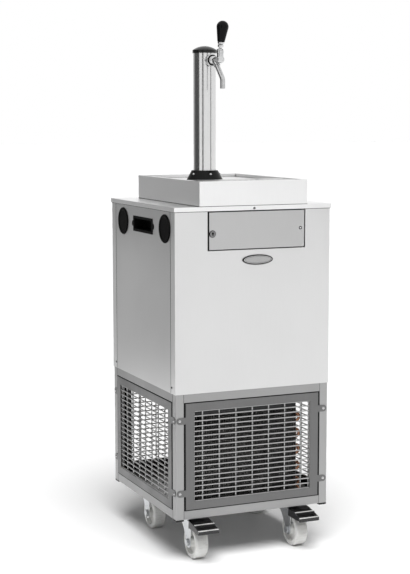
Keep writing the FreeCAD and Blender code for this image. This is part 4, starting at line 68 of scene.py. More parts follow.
class Tree:
    """A node tree with short calls for the nodes that the materials share."""

    def __init__(self, name):
        self.material = bpy.data.materials.new(name)
        self.material.use_nodes = True
        self.tree = self.material.node_tree
        self.tree.nodes.clear()
        self.output = self.add("ShaderNodeOutputMaterial")
        self.shader = self.add("ShaderNodeBsdfPrincipled")
        self.link(self.shader.outputs["BSDF"], self.output.inputs["Surface"])

    def add(self, kind, **values):
        node = self.tree.nodes.new(kind)
        for key, value in values.items():
            setattr(node, key, value)
        return node

    def link(self, source, target):
        self.tree.links.new(source, target)

    def place(self, stretch=(1, 1, 1), source="Object"):
        """A piece's own coordinates, each axis multiplied by its stretch."""
        coordinates = self.add("ShaderNodeTexCoord")
        mapping = self.add("ShaderNodeMapping")
        mapping.inputs["Scale"].default_value = stretch
        self.link(coordinates.outputs[source], mapping.inputs["Vector"])
        return mapping.outputs["Vector"]

    def noise(self, vector, scale, detail=3.0, roughness=0.55):
        node = self.add("ShaderNodeTexNoise")
        node.inputs["Scale"].default_value = scale
        node.inputs["Detail"].default_value = detail
        node.inputs["Roughness"].default_value = roughness
        self.link(vector, node.inputs["Vector"])
        return node.outputs["Fac"]

    def cells(self, vector, scale):
        """Random cells, with a colour and a distance from each one's middle."""
        node = self.add("ShaderNodeTexVoronoi", feature="F1")
        node.inputs["Scale"].default_value = scale
        node.inputs["Randomness"].default_value = 1.0
        self.link(vector, node.inputs["Vector"])
        return node

    def span(self, value, low, high, to_low, to_high):
        """A value's range mapped to another, clamped at both ends."""
        node = self.add("ShaderNodeMapRange", clamp=True)
        for key, number in zip(("From Min", "From Max", "To Min", "To Max"), (low, high, to_low, to_high)):
            node.inputs[key].default_value = number
        self.link(value, node.inputs["Value"])
        return node.outputs["Result"]

    def share(self, value, low=0.3, high=0.7):
        """A value's range as a share from nothing to all."""
        return self.span(value, low, high, 0.0, 1.0)

    def math(self, operation, first, second=None):
        node = self.add("ShaderNodeMath", operation=operation)
        for slot, value in enumerate((first, second)):
            if isinstance(value, (int, float)):
                node.inputs[slot].default_value = value
            elif value is not None:
                self.link(value, node.inputs[slot])
        return node.outputs["Value"]

    def mix(self, share, first, second):
        """Two colours, or a colour and a socket, mixed by a share."""
        node = self.add("ShaderNodeMix", data_type="RGBA")
        for slot, value in ((COLOUR_A, first), (COLOUR_B, second)):
            if isinstance(value, tuple):
                node.inputs[slot].default_value = (*value, 1)
            else:
                self.link(value, node.inputs[slot])
        self.link(share, node.inputs[MIX_SHARE])
        return node.outputs[COLOUR_OUT]

    def mix_value(self, share, first, second):
        node = self.add("ShaderNodeMix", data_type="FLOAT")
        self.link(share, node.inputs[MIX_SHARE])
        self.link(first, node.inputs[VALUE_A])
        self.link(second, node.inputs[VALUE_B])
        return node.outputs[VALUE_OUT]

    def shaded(self, colour, value):
        """A colour multiplied by a value."""
        node = self.add("ShaderNodeMix", data_type="RGBA", blend_type="MULTIPLY")
        node.inputs[MIX_SHARE].default_value = 1.0
        self.link(colour, node.inputs[COLOUR_A])
        combine = self.add("ShaderNodeCombineColor")
        for channel in ("Red", "Green", "Blue"):
            self.link(value, combine.inputs[channel])
        self.link(combine.outputs["Color"], node.inputs[COLOUR_B])
        return node.outputs[COLOUR_OUT]

    def bump(self, height, strength, distance, normal=None):
        node = self.add("ShaderNodeBump")
        node.inputs["Strength"].default_value = strength
        node.inputs["Distance"].default_value = distance
        self.link(height, node.inputs["Height"])
        if normal is not None:
            self.link(normal, node.inputs["Normal"])
        return node.outputs["Normal"]

    def soft_edge(self, radius):
        """A normal that rounds sharp edges by a radius, and a mask of those edges."""
        bevel = self.add("ShaderNodeBevel", samples=4)
        bevel.inputs["Radius"].default_value = radius
        geometry = self.add("ShaderNodeNewGeometry")
        dot = self.add("ShaderNodeVectorMath", operation="DOT_PRODUCT")
        self.link(bevel.outputs["Normal"], dot.inputs[0])
        self.link(geometry.outputs["Normal"], dot.inputs[1])
        mask = self.span(dot.outputs["Value"], 0.90, 0.995, 1.0, 0.0)
        return bevel.outputs["Normal"], mask

    def hollow(self, distance):
        """A mask of places that other surfaces crowd, where light doesn't reach and shade is painted."""
        node = self.add("ShaderNodeAmbientOcclusion", samples=6)
        node.inputs["Distance"].default_value = distance
        return self.span(node.outputs["AO"], 0.35, 0.80, 1.0, 0.0)

    def painted_hollow_shade(self, unshaded, distance, strength, tone):
        """A colour darkened in its hollows: painted shade."""
        return self.mix(self.math("MULTIPLY", self.hollow(distance), strength), unshaded, grey(tone))

    def colour(self, value):
        self.put("Base Color", value)

    def put(self, key, value):
        socket = self.shader.inputs[key]
        if isinstance(value, tuple):
            socket.default_value = (*value, 1)
        elif isinstance(value, (int, float)):
            socket.default_value = value
        else:
            self.link(value, socket)


def grey(level, warmth=0.0):
    """A neutral tone, slightly warm or cool."""
    return (level * (1 + warmth), level, level * (1 - warmth))


# materials

def brushed_steel(name, tone, along, smooth, rough, grain=1.0, wear=0.5, edge=0.0008):
    """Rolled sheet or tube: fine lines along one axis, soft smudges and worn bright edges.

    Smooth and rough are the lowest and highest roughness that the smudges give.
    """
    tree = Tree(name)
    across, lengthwise = 1150.0, 9.0
    sideways, upright = (lengthwise, across, across), (across, across, lengthwise)
    lines = tree.noise(tree.place(upright if along == "z" else sideways), 1.0, 4.0, 0.65)
    if along == "z":
        # a level face has no height to draw lines along, so there they run across
        level_lines = tree.noise(tree.place(sideways), 1.0, 4.0, 0.65)
        normal = tree.add("ShaderNodeTexCoord")
        parts = tree.add("ShaderNodeSeparateXYZ")
        tree.link(normal.outputs["Normal"], parts.inputs["Vector"])
        level = tree.math("GREATER_THAN", tree.math("ABSOLUTE", parts.outputs["Z"]), 0.7)
        lines = tree.mix_value(level, lines, level_lines)
    smudges = tree.noise(tree.place(), 6.0, 5.0, 0.6)
    blotches = tree.noise(tree.place((1, 1, 0.6)), 2.2, 3.0, 0.5)
    edge_normal, edge_mask = tree.soft_edge(edge)
    fine = tree.span(lines, 0.3, 0.7, 1 - 0.045 * grain, 1 + 0.03 * grain)
    broad = tree.span(blotches, 0.35, 0.65, 0.975, 1.02)
    lined = tree.mix(tree.math("MULTIPLY", tree.math("SUBTRACT", fine, 0.9), 4.0),
                     grey(tone * (1 - 0.10 * grain)), grey(min(1.0, tone * 1.05)))
    edge_share = tree.math("MULTIPLY", edge_mask, tree.span(smudges, 0.4, 0.65, 0.15 * wear, wear))
    worn = tree.mix(edge_share, tree.shaded(lined, broad), grey(min(1.0, tone * 1.12)))
    # painted shade: the colour darkens in the hollows, where light doesn't reach
    tree.colour(tree.painted_hollow_shade(worn, 0.007, 0.75, tone * 0.12))
    unevenness = tree.math("ADD", tree.math("MULTIPLY", smudges, 0.6), tree.math("MULTIPLY", lines, 0.4))
    tree.put("Roughness", tree.span(unevenness, 0.35, 0.68, smooth, rough))
    tree.put("Metallic", 1.0)
    tree.put("Anisotropic", 0.35)
    tree.put("Normal", tree.bump(lines, 0.10 * grain, 0.00012, edge_normal))
    return tree.material


def chrome(name, tone, rough=0.07):
    """Polished plating with faint handling marks."""
    tree = Tree(name)
    smudges = tree.noise(tree.place(), 40.0, 5.0, 0.65)
    specks = tree.noise(tree.place(), 900.0, 2.0, 0.5)
    edge_normal, edge_mask = tree.soft_edge(0.0004)
    body = tree.mix(tree.share(smudges), grey(tone * 0.93, -0.008), grey(tone))
    # painted highlight: sharp edges are painted paler than the plating
    edge_highlit = tree.mix(tree.math("MULTIPLY", edge_mask, 0.5), body, grey(min(1.0, tone * 1.1)))
    # painted shade: the colour darkens in the hollows, where light doesn't reach
    tree.colour(tree.painted_hollow_shade(edge_highlit, 0.004, 0.85, tone * 0.08))
    tree.put("Roughness", tree.span(smudges, 0.35, 0.75, rough, rough + 0.10))
    tree.put("Metallic", 1.0)
    tree.put("Normal", tree.bump(specks, 0.03, 0.00005, edge_normal))
    return tree.material


def zinc_plate(name, tone):
    """Bright zinc on pressed steel: mottled and a little cool, with painted shade in the folds and a painted
    highlight along sharp edges.
    """
    tree = Tree(name)
    mottle = tree.noise(tree.place(), 70.0, 6.0, 0.7)
    broad = tree.noise(tree.place(), 14.0, 3.0, 0.5)
    edge_normal, edge_mask = tree.soft_edge(0.0007)
    dull = (tone * 0.80, tone * 0.83, tone * 0.86)
    bright = (tone, tone * 1.01, tone * 1.03)
    stain = (tone * 0.74, tone * 0.72, tone * 0.66)
    body = tree.mix(tree.share(mottle, 0.35, 0.7), dull, bright)
    body = tree.mix(tree.span(broad, 0.45, 0.75, 0.0, 0.35), body, stain)
    # painted highlight: sharp edges are painted paler than the plating
    edge_highlit = tree.mix(tree.math("MULTIPLY", edge_mask, 0.6), body, grey(min(1.0, tone * 1.2)))
    # painted shade: the colour darkens in the folds, where light doesn't reach
    tree.colour(tree.painted_hollow_shade(edge_highlit, 0.006, 0.85, tone * 0.08))
    tree.put("Roughness", tree.span(mottle, 0.3, 0.75, 0.24, 0.46))
    tree.put("Metallic", 1.0)
    tree.put("Normal", tree.bump(mottle, 0.12, 0.0002, edge_normal))
    return tree.material


def galvanised(name):
    """Hot-dip sheet with its leafy crystals."""
    tree = Tree(name)
    tone = 0.52
    leaf = tree.cells(tree.place(), 95.0)
    shade = tree.add("ShaderNodeSeparateColor")
    tree.link(leaf.outputs["Color"], shade.inputs["Color"])
    edge_normal, edge_mask = tree.soft_edge(0.0005)
    body = tree.mix(shade.outputs["Red"], grey(tone * 0.80, -0.01), grey(tone * 1.08, -0.01))
    # painted highlight: sharp edges are painted paler than the sheet
    tree.colour(tree.mix(tree.math("MULTIPLY", edge_mask, 0.4), body, grey(tone * 1.3)))
    tree.put("Roughness", tree.span(shade.outputs["Green"], 0.0, 1.0, 0.32, 0.52))
    tree.put("Metallic", 1.0)
    tree.put("Normal", tree.bump(shade.outputs["Blue"], 0.05, 0.0001, edge_normal))
    return tree.material


def black_plastic(name, tone=0.012, rough=0.42, grain=900.0, gloss=0.18):
    """Moulded black plastic with a fine eroded grain and pale rubbed edges."""
    tree = Tree(name)
    pits = tree.noise(tree.place(), grain, 3.0, 0.6)
    patches = tree.noise(tree.place(), 18.0, 4.0, 0.6)
    edge_normal, edge_mask = tree.soft_edge(0.0006)
    body = tree.mix(tree.share(patches, 0.35, 0.7), grey(tone * 0.8), grey(tone * 1.35))
    rubbed = tree.math("MULTIPLY", edge_mask, tree.span(patches, 0.4, 0.7, 0.05, 0.5))
    tree.colour(tree.mix(rubbed, body, grey(tone * 3.2 + 0.01)))
    tree.put("Roughness", tree.span(patches, 0.3, 0.75, rough - 0.06, rough + 0.10))
    tree.put("Normal", tree.bump(pits, 0.16, 0.00012, edge_normal))
    tree.put("IOR", 1.5)
    tree.put("Specular IOR Level", gloss)
    return tree.material


def glossy_black(name):
    """Cast phenolic of the tap's knob: near mirror, with faint polish lines and dust."""
    tree = Tree(name)
    polish = tree.noise(tree.place((1, 1, 0.25)), 260.0, 3.0, 0.5)
    dust = tree.noise(tree.place(), 1400.0, 2.0, 0.5)
    tree.colour(tree.mix(tree.span(dust, 0.62, 0.8, 0.0, 0.12), (0.004, 0.004, 0.0045), (0.05, 0.05, 0.05)))
    tree.put("Roughness", tree.span(polish, 0.3, 0.7, 0.10, 0.20))
    tree.put("Normal", tree.bump(polish, 0.03, 0.0001))
    tree.put("IOR", 1.5)
    tree.put("Specular IOR Level", 0.12)
    return tree.material


def white_nylon(name):
    """Turned nylon wheel: waxy white with faint rings and a scuffed grey tread."""
    tree = Tree(name)
    own = tree.place((1, 1, 1), "Generated")
    parts = tree.add("ShaderNodeSeparateXYZ")
    tree.link(own, parts.inputs["Vector"])
    middle = 0.5
    deep = tree.math("SUBTRACT", parts.outputs["Y"], middle)
    high = tree.math("SUBTRACT", parts.outputs["Z"], middle)
    squares = tree.math("ADD", tree.math("MULTIPLY", deep, deep), tree.math("MULTIPLY", high, high))
    reach = tree.math("SQRT", squares)
    tread = tree.share(reach, 0.465, 0.492)
    scuffs = tree.noise(tree.place((40, 220, 220)), 1.0, 5.0, 0.7)
    cloud = tree.noise(tree.place(), 45.0, 4.0, 0.55)
    body = tree.mix(tree.share(cloud), (0.80, 0.80, 0.775), (0.88, 0.88, 0.865))
    marks = tree.math("MULTIPLY", tread, tree.span(scuffs, 0.48, 0.72, 0.0, 0.55))
    tree.colour(tree.mix(marks, body, (0.52, 0.51, 0.49)))
    tree.put("Roughness", tree.span(cloud, 0.3, 0.7, 0.30, 0.42))
    rings = tree.math("SINE", tree.math("MULTIPLY", reach, 520.0))
    height = tree.math("ADD", tree.math("MULTIPLY", rings, 0.3), tree.math("MULTIPLY", scuffs, tread))
    tree.put("Normal", tree.bump(height, 0.12, 0.0002))
    tree.put("Subsurface Weight", 0.12)
    tree.shader.inputs["Subsurface Radius"].default_value = (0.004, 0.004, 0.0036)
    tree.put("IOR", 1.53)
    return tree.material


def scaled(tone, factor, lift=0.0):
    """A colour made darker or paler, at most white."""
    return tuple(min(1.0, channel * factor + lift) for channel in tone)


def coated(name, tone, rough=0.45):
    """Sprayed or powdered paint: orange peel, dull patches and chips along edges."""
    tree = Tree(name)
    skin = tree.noise(tree.place(), 220.0, 2.0, 0.5)
    patches = tree.noise(tree.place(), 25.0, 4.0, 0.6)
    edge_normal, edge_mask = tree.soft_edge(0.0008)
    body = tree.mix(tree.share(patches, 0.35, 0.7), scaled(tone, 0.85), scaled(tone, 1.2))
    chips = tree.math("MULTIPLY", edge_mask, tree.span(skin, 0.55, 0.62, 0.0, 0.8))
    tree.colour(tree.mix(chips, body, scaled(tone, 2.5, 0.08)))
    tree.put("Roughness", tree.span(patches, 0.3, 0.7, rough - 0.08, rough + 0.10))
    tree.put("Normal", tree.bump(skin, 0.14, 0.0003, edge_normal))
    tree.put("IOR", 1.5)
    tree.put("Coat Weight", 0.15)
    return tree.material


def grille_steel(name, axis, face, way, border_tone, rod_tone):
    """A dark sheet border, whose outer face lies on a plane, and paler drawn rods behind it.

    The axis is that plane's, and the way is the sign of the direction from its face inwards.
    """
    tree = Tree(name)
    own = tree.add("ShaderNodeTexCoord").outputs["Object"]
    parts = tree.add("ShaderNodeSeparateXYZ")
    tree.link(own, parts.inputs["Vector"])
    depth = tree.math("MULTIPLY", tree.math("SUBTRACT", parts.outputs[axis], face), way)
    # the sheet is 1.5 mm thick, and the rods begin where it ends
    behind = tree.share(depth, 0.00151, 0.00156)
    lines = tree.noise(tree.place((900, 900, 9)), 1.0, 4.0, 0.6)
    smudges = tree.noise(tree.place(), 9.0, 5.0, 0.6)
    border = tree.mix(lines, grey(border_tone * 0.86), grey(border_tone * 1.12))
    rods = tree.mix(smudges, grey(rod_tone * 0.85), grey(rod_tone * 1.1))
    edge_normal, edge_mask = tree.soft_edge(0.0005)
    rubbed = tree.math("MULTIPLY", edge_mask, tree.span(smudges, 0.4, 0.65, 0.1, 0.5))
    body = tree.mix(rubbed, tree.mix(behind, border, rods), grey(rod_tone))
    # painted shade: the colour darkens in the hollows, where light doesn't reach
    tree.colour(tree.painted_hollow_shade(body, 0.006, 0.8, border_tone * 0.10))
    tree.put("Roughness", tree.span(smudges, 0.3, 0.7, 0.28, 0.46))
    tree.put("Metallic", 1.0)
    tree.put("Normal", tree.bump(lines, 0.08, 0.0001, edge_normal))
    return tree.material


def lacquered_fins(name):
    """Black lacquer on fins, with pale dust and lint caught between them."""
    tree = Tree(name)
    lint = tree.noise(tree.place((260, 260, 420)), 1.0, 5.0, 0.75)
    drift = tree.noise(tree.place(), 16.0, 4.0, 0.6)
    caught = tree.math("MULTIPLY", tree.share(lint, 0.47, 0.60), tree.span(drift, 0.35, 0.65, 0.4, 1.0))
    tree.colour(tree.mix(caught, (0.022, 0.022, 0.023), (0.52, 0.51, 0.49)))
    tree.put("Roughness", tree.span(lint, 0.3, 0.7, 0.35, 0.7))
    tree.put("Normal", tree.bump(lint, 0.2, 0.0003))
    tree.put("Specular IOR Level", 0.3)
    return tree.material


def black_rubber(name):
    """Matt rubber with chalky dust on it."""
    tree = Tree(name)
    tone = 0.008
    dust = tree.noise(tree.place(), 120.0, 5.0, 0.7)
    pores = tree.noise(tree.place(), 1300.0, 2.0, 0.5)
    tree.colour(tree.mix(tree.span(dust, 0.5, 0.8, 0.0, 0.5), grey(tone), grey(tone * 4)))
    tree.put("Roughness", tree.span(dust, 0.3, 0.7, 0.62, 0.85))
    tree.put("Normal", tree.bump(pores, 0.2, 0.0001))
    tree.put("Specular IOR Level", 0.15)
    return tree.material


def fin_aluminium(name):
    """Thin cool aluminium with dust settled in it."""
    tree = Tree(name)
    streak = tree.noise(tree.place((60, 60, 700)), 1.0, 4.0, 0.6)
    dust = tree.noise(tree.place(), 22.0, 5.0, 0.65)
    body = tree.mix(tree.share(streak), (0.56, 0.57, 0.58), (0.72, 0.73, 0.74))
    tree.colour(tree.mix(tree.span(dust, 0.5, 0.8, 0.0, 0.4), body, (0.34, 0.33, 0.31)))
    tree.put("Metallic", tree.span(dust, 0.45, 0.8, 1.0, 0.75))
    tree.put("Roughness", tree.span(dust, 0.3, 0.7, 0.32, 0.55))
    tree.put("Normal", tree.bump(streak, 0.1, 0.0002))
    return tree.material


def copper(name):
    """Drawn copper tube with tarnish."""
    tree = Tree(name)
    tarnish = tree.noise(tree.place(), 60.0, 5.0, 0.65)
    body = tree.mix(tree.share(tarnish, 0.35, 0.7), (0.72, 0.36, 0.22), (0.42, 0.19, 0.11))
    tree.colour(body)
    tree.put("Metallic", 1.0)
    tree.put("Roughness", tree.span(tarnish, 0.3, 0.7, 0.22, 0.45))
    tree.put("Normal", tree.bump(tarnish, 0.06, 0.0002))
    return tree.material


def foam(name):
    """Rigid poured foam: skin with small open cells."""
    tree = Tree(name)
    bubbles = tree.cells(tree.place(), 420.0)
    patches = tree.noise(tree.place(), 12.0, 4.0, 0.6)
    tree.colour(tree.mix(tree.share(patches), (0.70, 0.62, 0.42), (0.82, 0.77, 0.60)))
    tree.put("Roughness", 0.85)
    tree.put("Normal", tree.bump(bubbles.outputs["Distance"], 0.5, 0.0008))
    return tree.material


def moulded(name, tone):
    """Plain moulded plastic with a faint flow pattern."""
    tree = Tree(name)
    rough = 0.5
    flow = tree.noise(tree.place((1, 1, 0.3)), 30.0, 4.0, 0.55)
    pits = tree.noise(tree.place(), 1100.0, 2.0, 0.5)
    edge_normal, edge_mask = tree.soft_edge(0.0005)
    body = tree.mix(tree.share(flow), scaled(tone, 0.92), scaled(tone, 1.06))
    tree.colour(tree.mix(tree.math("MULTIPLY", edge_mask, 0.3), body, scaled(tone, 1.2, 0.02)))
    tree.put("Roughness", tree.span(flow, 0.3, 0.7, rough - 0.05, rough + 0.08))
    tree.put("Normal", tree.bump(pits, 0.12, 0.0001, edge_normal))
    return tree.material


def clear_tube(name):
    """Milky food tube."""
    tree = Tree(name)
    cloud = tree.noise(tree.place(), 55.0, 4.0, 0.5)
    tree.colour(tree.mix(tree.share(cloud), (0.78, 0.80, 0.82), (0.88, 0.90, 0.91)))
    tree.put("Roughness", tree.span(cloud, 0.3, 0.7, 0.18, 0.30))
    tree.put("Transmission Weight", 0.35)
    tree.put("IOR", 1.45)
    return tree.material


def dress(names, material):
    """Put one material on CAD nodes."""
    for name in names:
        slots = nodes[name].data.materials
        slots.clear()
        slots.append(material)


CORNERS = ("front_left", "front_right", "rear_left", "rear_right")
CASE_FINISH = {"along": "z", "smooth": 0.29, "rough": 0.36, "grain": 0.8}
TUBE_FINISH = {"along": "z", "smooth": 0.30, "rough": 0.46}
GRILLE_BORDER_TONE, GRILLE_ROD_TONE = 0.185, 0.50

dress(["front_panel", "back_panel"], brushed_steel("panel_steel", tone=0.73, **CASE_FINISH))
# painted shade: the door is the panels' steel at a darker tone, for the light it catches
dress(["access_door"], brushed_steel("door_steel_painted_shade", tone=0.54, **CASE_FINISH))
dress(["left_panel", "right_panel"], brushed_steel("side_steel", tone=0.66, **CASE_FINISH))
dress(["lid", "drip_riser"],
      brushed_steel("lid_steel", tone=0.92, along="z", smooth=0.28, rough=0.36, grain=0.8))
dress(["drip_grid"], brushed_steel("grid_steel", tone=0.66, along="x", smooth=0.22, rough=0.36))
dress(["corner_posts"], brushed_steel("post_steel", tone=0.42, **TUBE_FINISH))
dress(["frame_rails"], brushed_steel("rail_steel", tone=0.38, **TUBE_FINISH))
for side, axis, end, way in (("front", 1, 0, 1), ("back", 1, 1, -1), ("left", 0, 0, 1), ("right", 0, 1, -1)):
    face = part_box(f"{side}_grille")[end][axis]
    dress([f"{side}_grille"],
          grille_steel(f"{side}_grille_steel", axis, face, way, GRILLE_BORDER_TONE, GRILLE_ROD_TONE))
dress(["base_plate"], brushed_steel("floor_steel", tone=0.34, along="x", smooth=0.36, rough=0.55))
dress(["tower_column"],
      brushed_steel("column_steel", tone=0.70, along="z", smooth=0.10, rough=0.20, grain=0.5, wear=0.4,
                    edge=0.0004))
dress(["grille_screws", "caster_bolts", "flange_screws"], chrome("screw_chrome", tone=0.56, rough=0.16))
dress(["case_screws"], chrome("case_screw_chrome", tone=0.20, rough=0.22))
dress(["cam_lock"], chrome("lock_chrome", tone=0.22, rough=0.22))
dress(["tap_shank", "tap_collar", "tap_body", "tap_lever"], chrome("tap_chrome", tone=0.68))
# painted reflection: the spout is the tap's chrome at a darker tone, for the dark band it mirrors
dress(["tap_spout"], chrome("spout_chrome_painted_shade", tone=0.58))
dress(["badge_plate"],
      brushed_steel("badge_steel", tone=0.42, along="x", smooth=0.14, rough=0.28, grain=0.6))
dress([f"{corner}_fork" for corner in CORNERS] + ["caster_plates"], zinc_plate("caster_zinc", tone=0.78))
dress([f"{corner}_wheel" for corner in CORNERS], white_nylon("wheel_nylon"))
dress(["front_left_brake_pedal", "front_right_brake_pedal"],
      coated("pedal_coat", (0.014, 0.014, 0.015), rough=0.34))
dress(["post_end_caps", "thermostat_dial"], black_plastic("cap_plastic"))
dress(["side_plugs", "handle_cups"], black_plastic("plug_plastic", tone=0.0045, rough=0.55, gloss=0.03))
dress(["tower_flange"], black_plastic("flange_plastic", tone=0.008, rough=0.34, grain=700.0, gloss=0.10))
dress(["tower_cap"], black_plastic("tower_plastic", tone=0.009, rough=0.24, grain=700.0, gloss=0.30))
dress(["lever_knob"], glossy_black("knob_plastic"))
dress(["door_pivots", "control_niche", "fan_housing"], galvanised("galvanised_sheet"))
dress(["compressor"], coated("compressor_coat", (0.022, 0.022, 0.024), rough=0.38))
dress(["agitator_motor"], coated("motor_coat", (0.13, 0.14, 0.15)))
dress(["condenser"], lacquered_fins("fin_lacquer"))
dress(["fan_blades"], fin_aluminium("fin_aluminium"))
dress(["beer_coil", "evaporator_coil", "agitator_shaft"],
      brushed_steel("coil_steel", tone=0.60, along="x", smooth=0.25, rough=0.42))
dress(["insulated_tank"], foam("tank_foam"))
dress(["tank_cover"], moulded("cover_plastic", (0.66, 0.66, 0.64)))
dress(["beer_line"], clear_tube("beer_tube"))
dress(["cable_gland", "beer_inlet"], moulded("fitting_plastic", (0.22, 0.22, 0.23)))


# small parts, in millimetres

# the square-tube frame with its machine bay, and the case over it
FRAME_HALF_X, FRAME_FRONT, FRAME_BACK = 249.0, -252.0, 276.0
TUBE = 25.0
BAY_FOOT, BAY_HEAD = 160.0, 485.0
CASE_HALF_X, CASE_FRONT, CASE_BACK = 251.0, -254.0, 278.0

FORWARD = (0, -1, 0)
UPWARD = (0, 0, 1)


def piece(name, mesh, body, material):
    """A mesh as a piece that rides on a body."""
    mesh.name = name
    mesh.materials.clear()
    mesh.materials.append(material)
    made = bpy.data.objects.new(name, mesh)
    bpy.context.scene.collection.objects.link(made)
    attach(made, body)


def finish_mesh(shape, smooth=True):
    """The mesh of a shape that was drawn in millimetres."""
    mesh = bpy.data.meshes.new("shape")
    bmesh.ops.recalc_face_normals(shape, faces=shape.faces)
    bmesh.ops.scale(shape, vec=(MM, MM, MM), verts=shape.verts)
    shape.to_mesh(mesh)
    shape.free()
    mesh.polygons.foreach_set("use_smooth", [smooth] * len(mesh.polygons))
    return mesh


def blocks(boxes, edge=0.3):
    """Boxes between low and high corners, each with rounded edges."""
    shape = bmesh.new()
    for low_corner, high_corner in boxes:
        made = bmesh.ops.create_cube(shape, size=1.0)["verts"]
        for vert in made:
            vert.co = Vector([low_corner[k] if vert.co[k] < 0 else high_corner[k] for k in range(3)])
    bmesh.ops.bevel(shape, geom=list(shape.edges), offset=edge, segments=2, affect="EDGES", profile=0.6)
    return finish_mesh(shape, smooth=False)


def bridge(shape, first, second):
    """Faces between two loops with the same number of points."""
    count = len(first)
    for step in range(count):
        following = (step + 1) % count
        shape.faces.new((first[step], first[following], second[following], second[step]))


def turned(profiles, segments=40):
    """Solids of revolution: each has an outline of radius and height, a foot and the way it points."""
    shape = bmesh.new()
    for outline, foot, way in profiles:
        turn = Vector(UPWARD).rotation_difference(Vector(way)).to_matrix()
        rings = []
        for radius, height in outline:
            spots = []
            for step in range(segments):
                angle = 2 * math.pi * step / segments
                spot = Vector((radius * math.cos(angle), radius * math.sin(angle), height))
                spots.append(shape.verts.new(turn @ spot + Vector(foot)))
            rings.append(spots)
        for first, second in zip(rings, rings[1:]):
            bridge(shape, first, second)
        shape.faces.new(rings[0][::-1])
        shape.faces.new(rings[-1])
    return finish_mesh(shape)


def tubes(paths, radius, closed=False, kind="NURBS"):
    """Round tubes along paths of points."""
    curve = bpy.data.curves.new("path", "CURVE")
    curve.dimensions = "3D"
    curve.bevel_depth = radius * MM
    curve.bevel_resolution = 3
    curve.resolution_u = 8
    curve.use_fill_caps = True
    for path in paths:
        line = curve.splines.new(kind)
        line.points.add(len(path) - 1)
        for point, place in zip(line.points, path):
            point.co = (*(value * MM for value in place), 1)
        line.use_cyclic_u = closed
        if kind == "NURBS":
            line.order_u = 3
            line.use_endpoint_u = not closed
    source = bpy.data.objects.new("path", curve)
    mesh = bpy.data.meshes.new_from_object(source)
    bpy.data.objects.remove(source)
    bpy.data.curves.remove(curve)
    mesh.polygons.foreach_set("use_smooth", [True] * len(mesh.polygons))
    return mesh


def oval_band(centre, outer, inner, face, back, segments=96):
    """A flat oval ring in the front's plane."""
    shape = bmesh.new()
    loops = []
    for (half_width, half_height), depth in ((outer, back), (outer, face), (inner, face), (inner, back)):
        loop = []
        for step in range(segments):
            angle = 2 * math.pi * step / segments
            loop.append(shape.verts.new((centre[0] + half_width * math.cos(angle), depth,
                                         centre[1] + half_height * math.sin(angle))))
        loops.append(loop)
    for first, second in zip(loops, loops[1:] + loops[:1]):
        bridge(shape, first, second)
    return finish_mesh(shape, smooth=False)


# black rubber, which also serves as painted shade in gaps and grooves
RUBBER_AND_SHADE = black_rubber("rubber_and_painted_shade")
COPPER = copper("line_copper")


def rubber_and_shade_piece(name, mesh, body="cabinet"):
    """A piece in black rubber, used both for real rubber parts and for dark strips of painted shade."""
    piece(name, mesh, body, RUBBER_AND_SHADE)


def pipe(name, mesh):
    """A copper piece of the machine bay."""
    piece(name, mesh, "cabinet", COPPER)


def grille_seals():
    """Foam strips that close the gaps between each grille and the frame's tubes."""
    gap, depth, width, rise = 0.3, 7.0, 12.5, 7.5
    inner_x = FRAME_HALF_X - TUBE - gap
    inner_front = FRAME_FRONT + TUBE + gap
    inner_back = FRAME_BACK - TUBE - gap
    foot, head = BAY_FOOT + gap, BAY_HEAD - gap
    for side, face, way in (("front", FRAME_FRONT + gap, 1), ("back", FRAME_BACK - gap, -1)):
        near, far = sorted((face, face + depth * way))
        boxes = [((-inner_x, near, foot), (inner_x, far, foot + rise)),
                 ((-inner_x, near, head - rise), (inner_x, far, head)),
                 ((-inner_x, near, foot + rise), (-inner_x + width, far, head - rise)),
                 ((inner_x - width, near, foot + rise), (inner_x, far, head - rise))]
        rubber_and_shade_piece(f"{side}_grille_seal", blocks(boxes))
    for side, face, way in (("left", -FRAME_HALF_X + gap, 1), ("right", FRAME_HALF_X - gap, -1)):
        near, far = sorted((face, face + depth * way))
        boxes = [((near, inner_front, foot), (far, inner_back, foot + rise)),
                 ((near, inner_front, head - rise), (far, inner_back, head)),
                 ((near, inner_front, foot + rise), (far, inner_front + width, head - rise)),
                 ((near, inner_back - width, foot + rise), (far, inner_back, head - rise))]
        rubber_and_shade_piece(f"{side}_grille_seal", blocks(boxes))


def level_ring(half_x, front, back, height):
    """The four corners of a level rectangle."""
    return [(-half_x, front, height), (half_x, front, height),
            (half_x, back, height), (-half_x, back, height)]


def case_seams():
    """Painted shade under the lid's lip as a dark strip, and dark joints at the drip top's foot and along
    the folded corners.
    """
    proud = 0.3
    lip = level_ring(CASE_HALF_X + proud, CASE_FRONT - proud, CASE_BACK + proud, 1042.3)
    drip_half_x, drip_front, drip_back, drip_foot = 174.4, -255.8, 241.9, 1056.5
    foot = level_ring(drip_half_x, drip_front, drip_back, drip_foot)
    # painted shade: a black strip for the shadow under the lid's lip
    rubber_and_shade_piece("lid_lip_painted_shade", tubes([lip], 0.9, True, "POLY"))
    rubber_and_shade_piece("drip_top_joint", tubes([foot], 0.8, True, "POLY"))
    fold_x, fold_front, fold_back = CASE_HALF_X + 0.05, -219.7, 243.7
    case_foot, case_head = 512, 1041
    runs = []
    for side in (-1, 1):
        for depth in (fold_front, fold_back):
            runs.append([(side * fold_x, depth, case_foot), (side * fold_x, depth, case_head)])
    rubber_and_shade_piece("corner_joints", tubes(runs, 0.5, False, "POLY"))


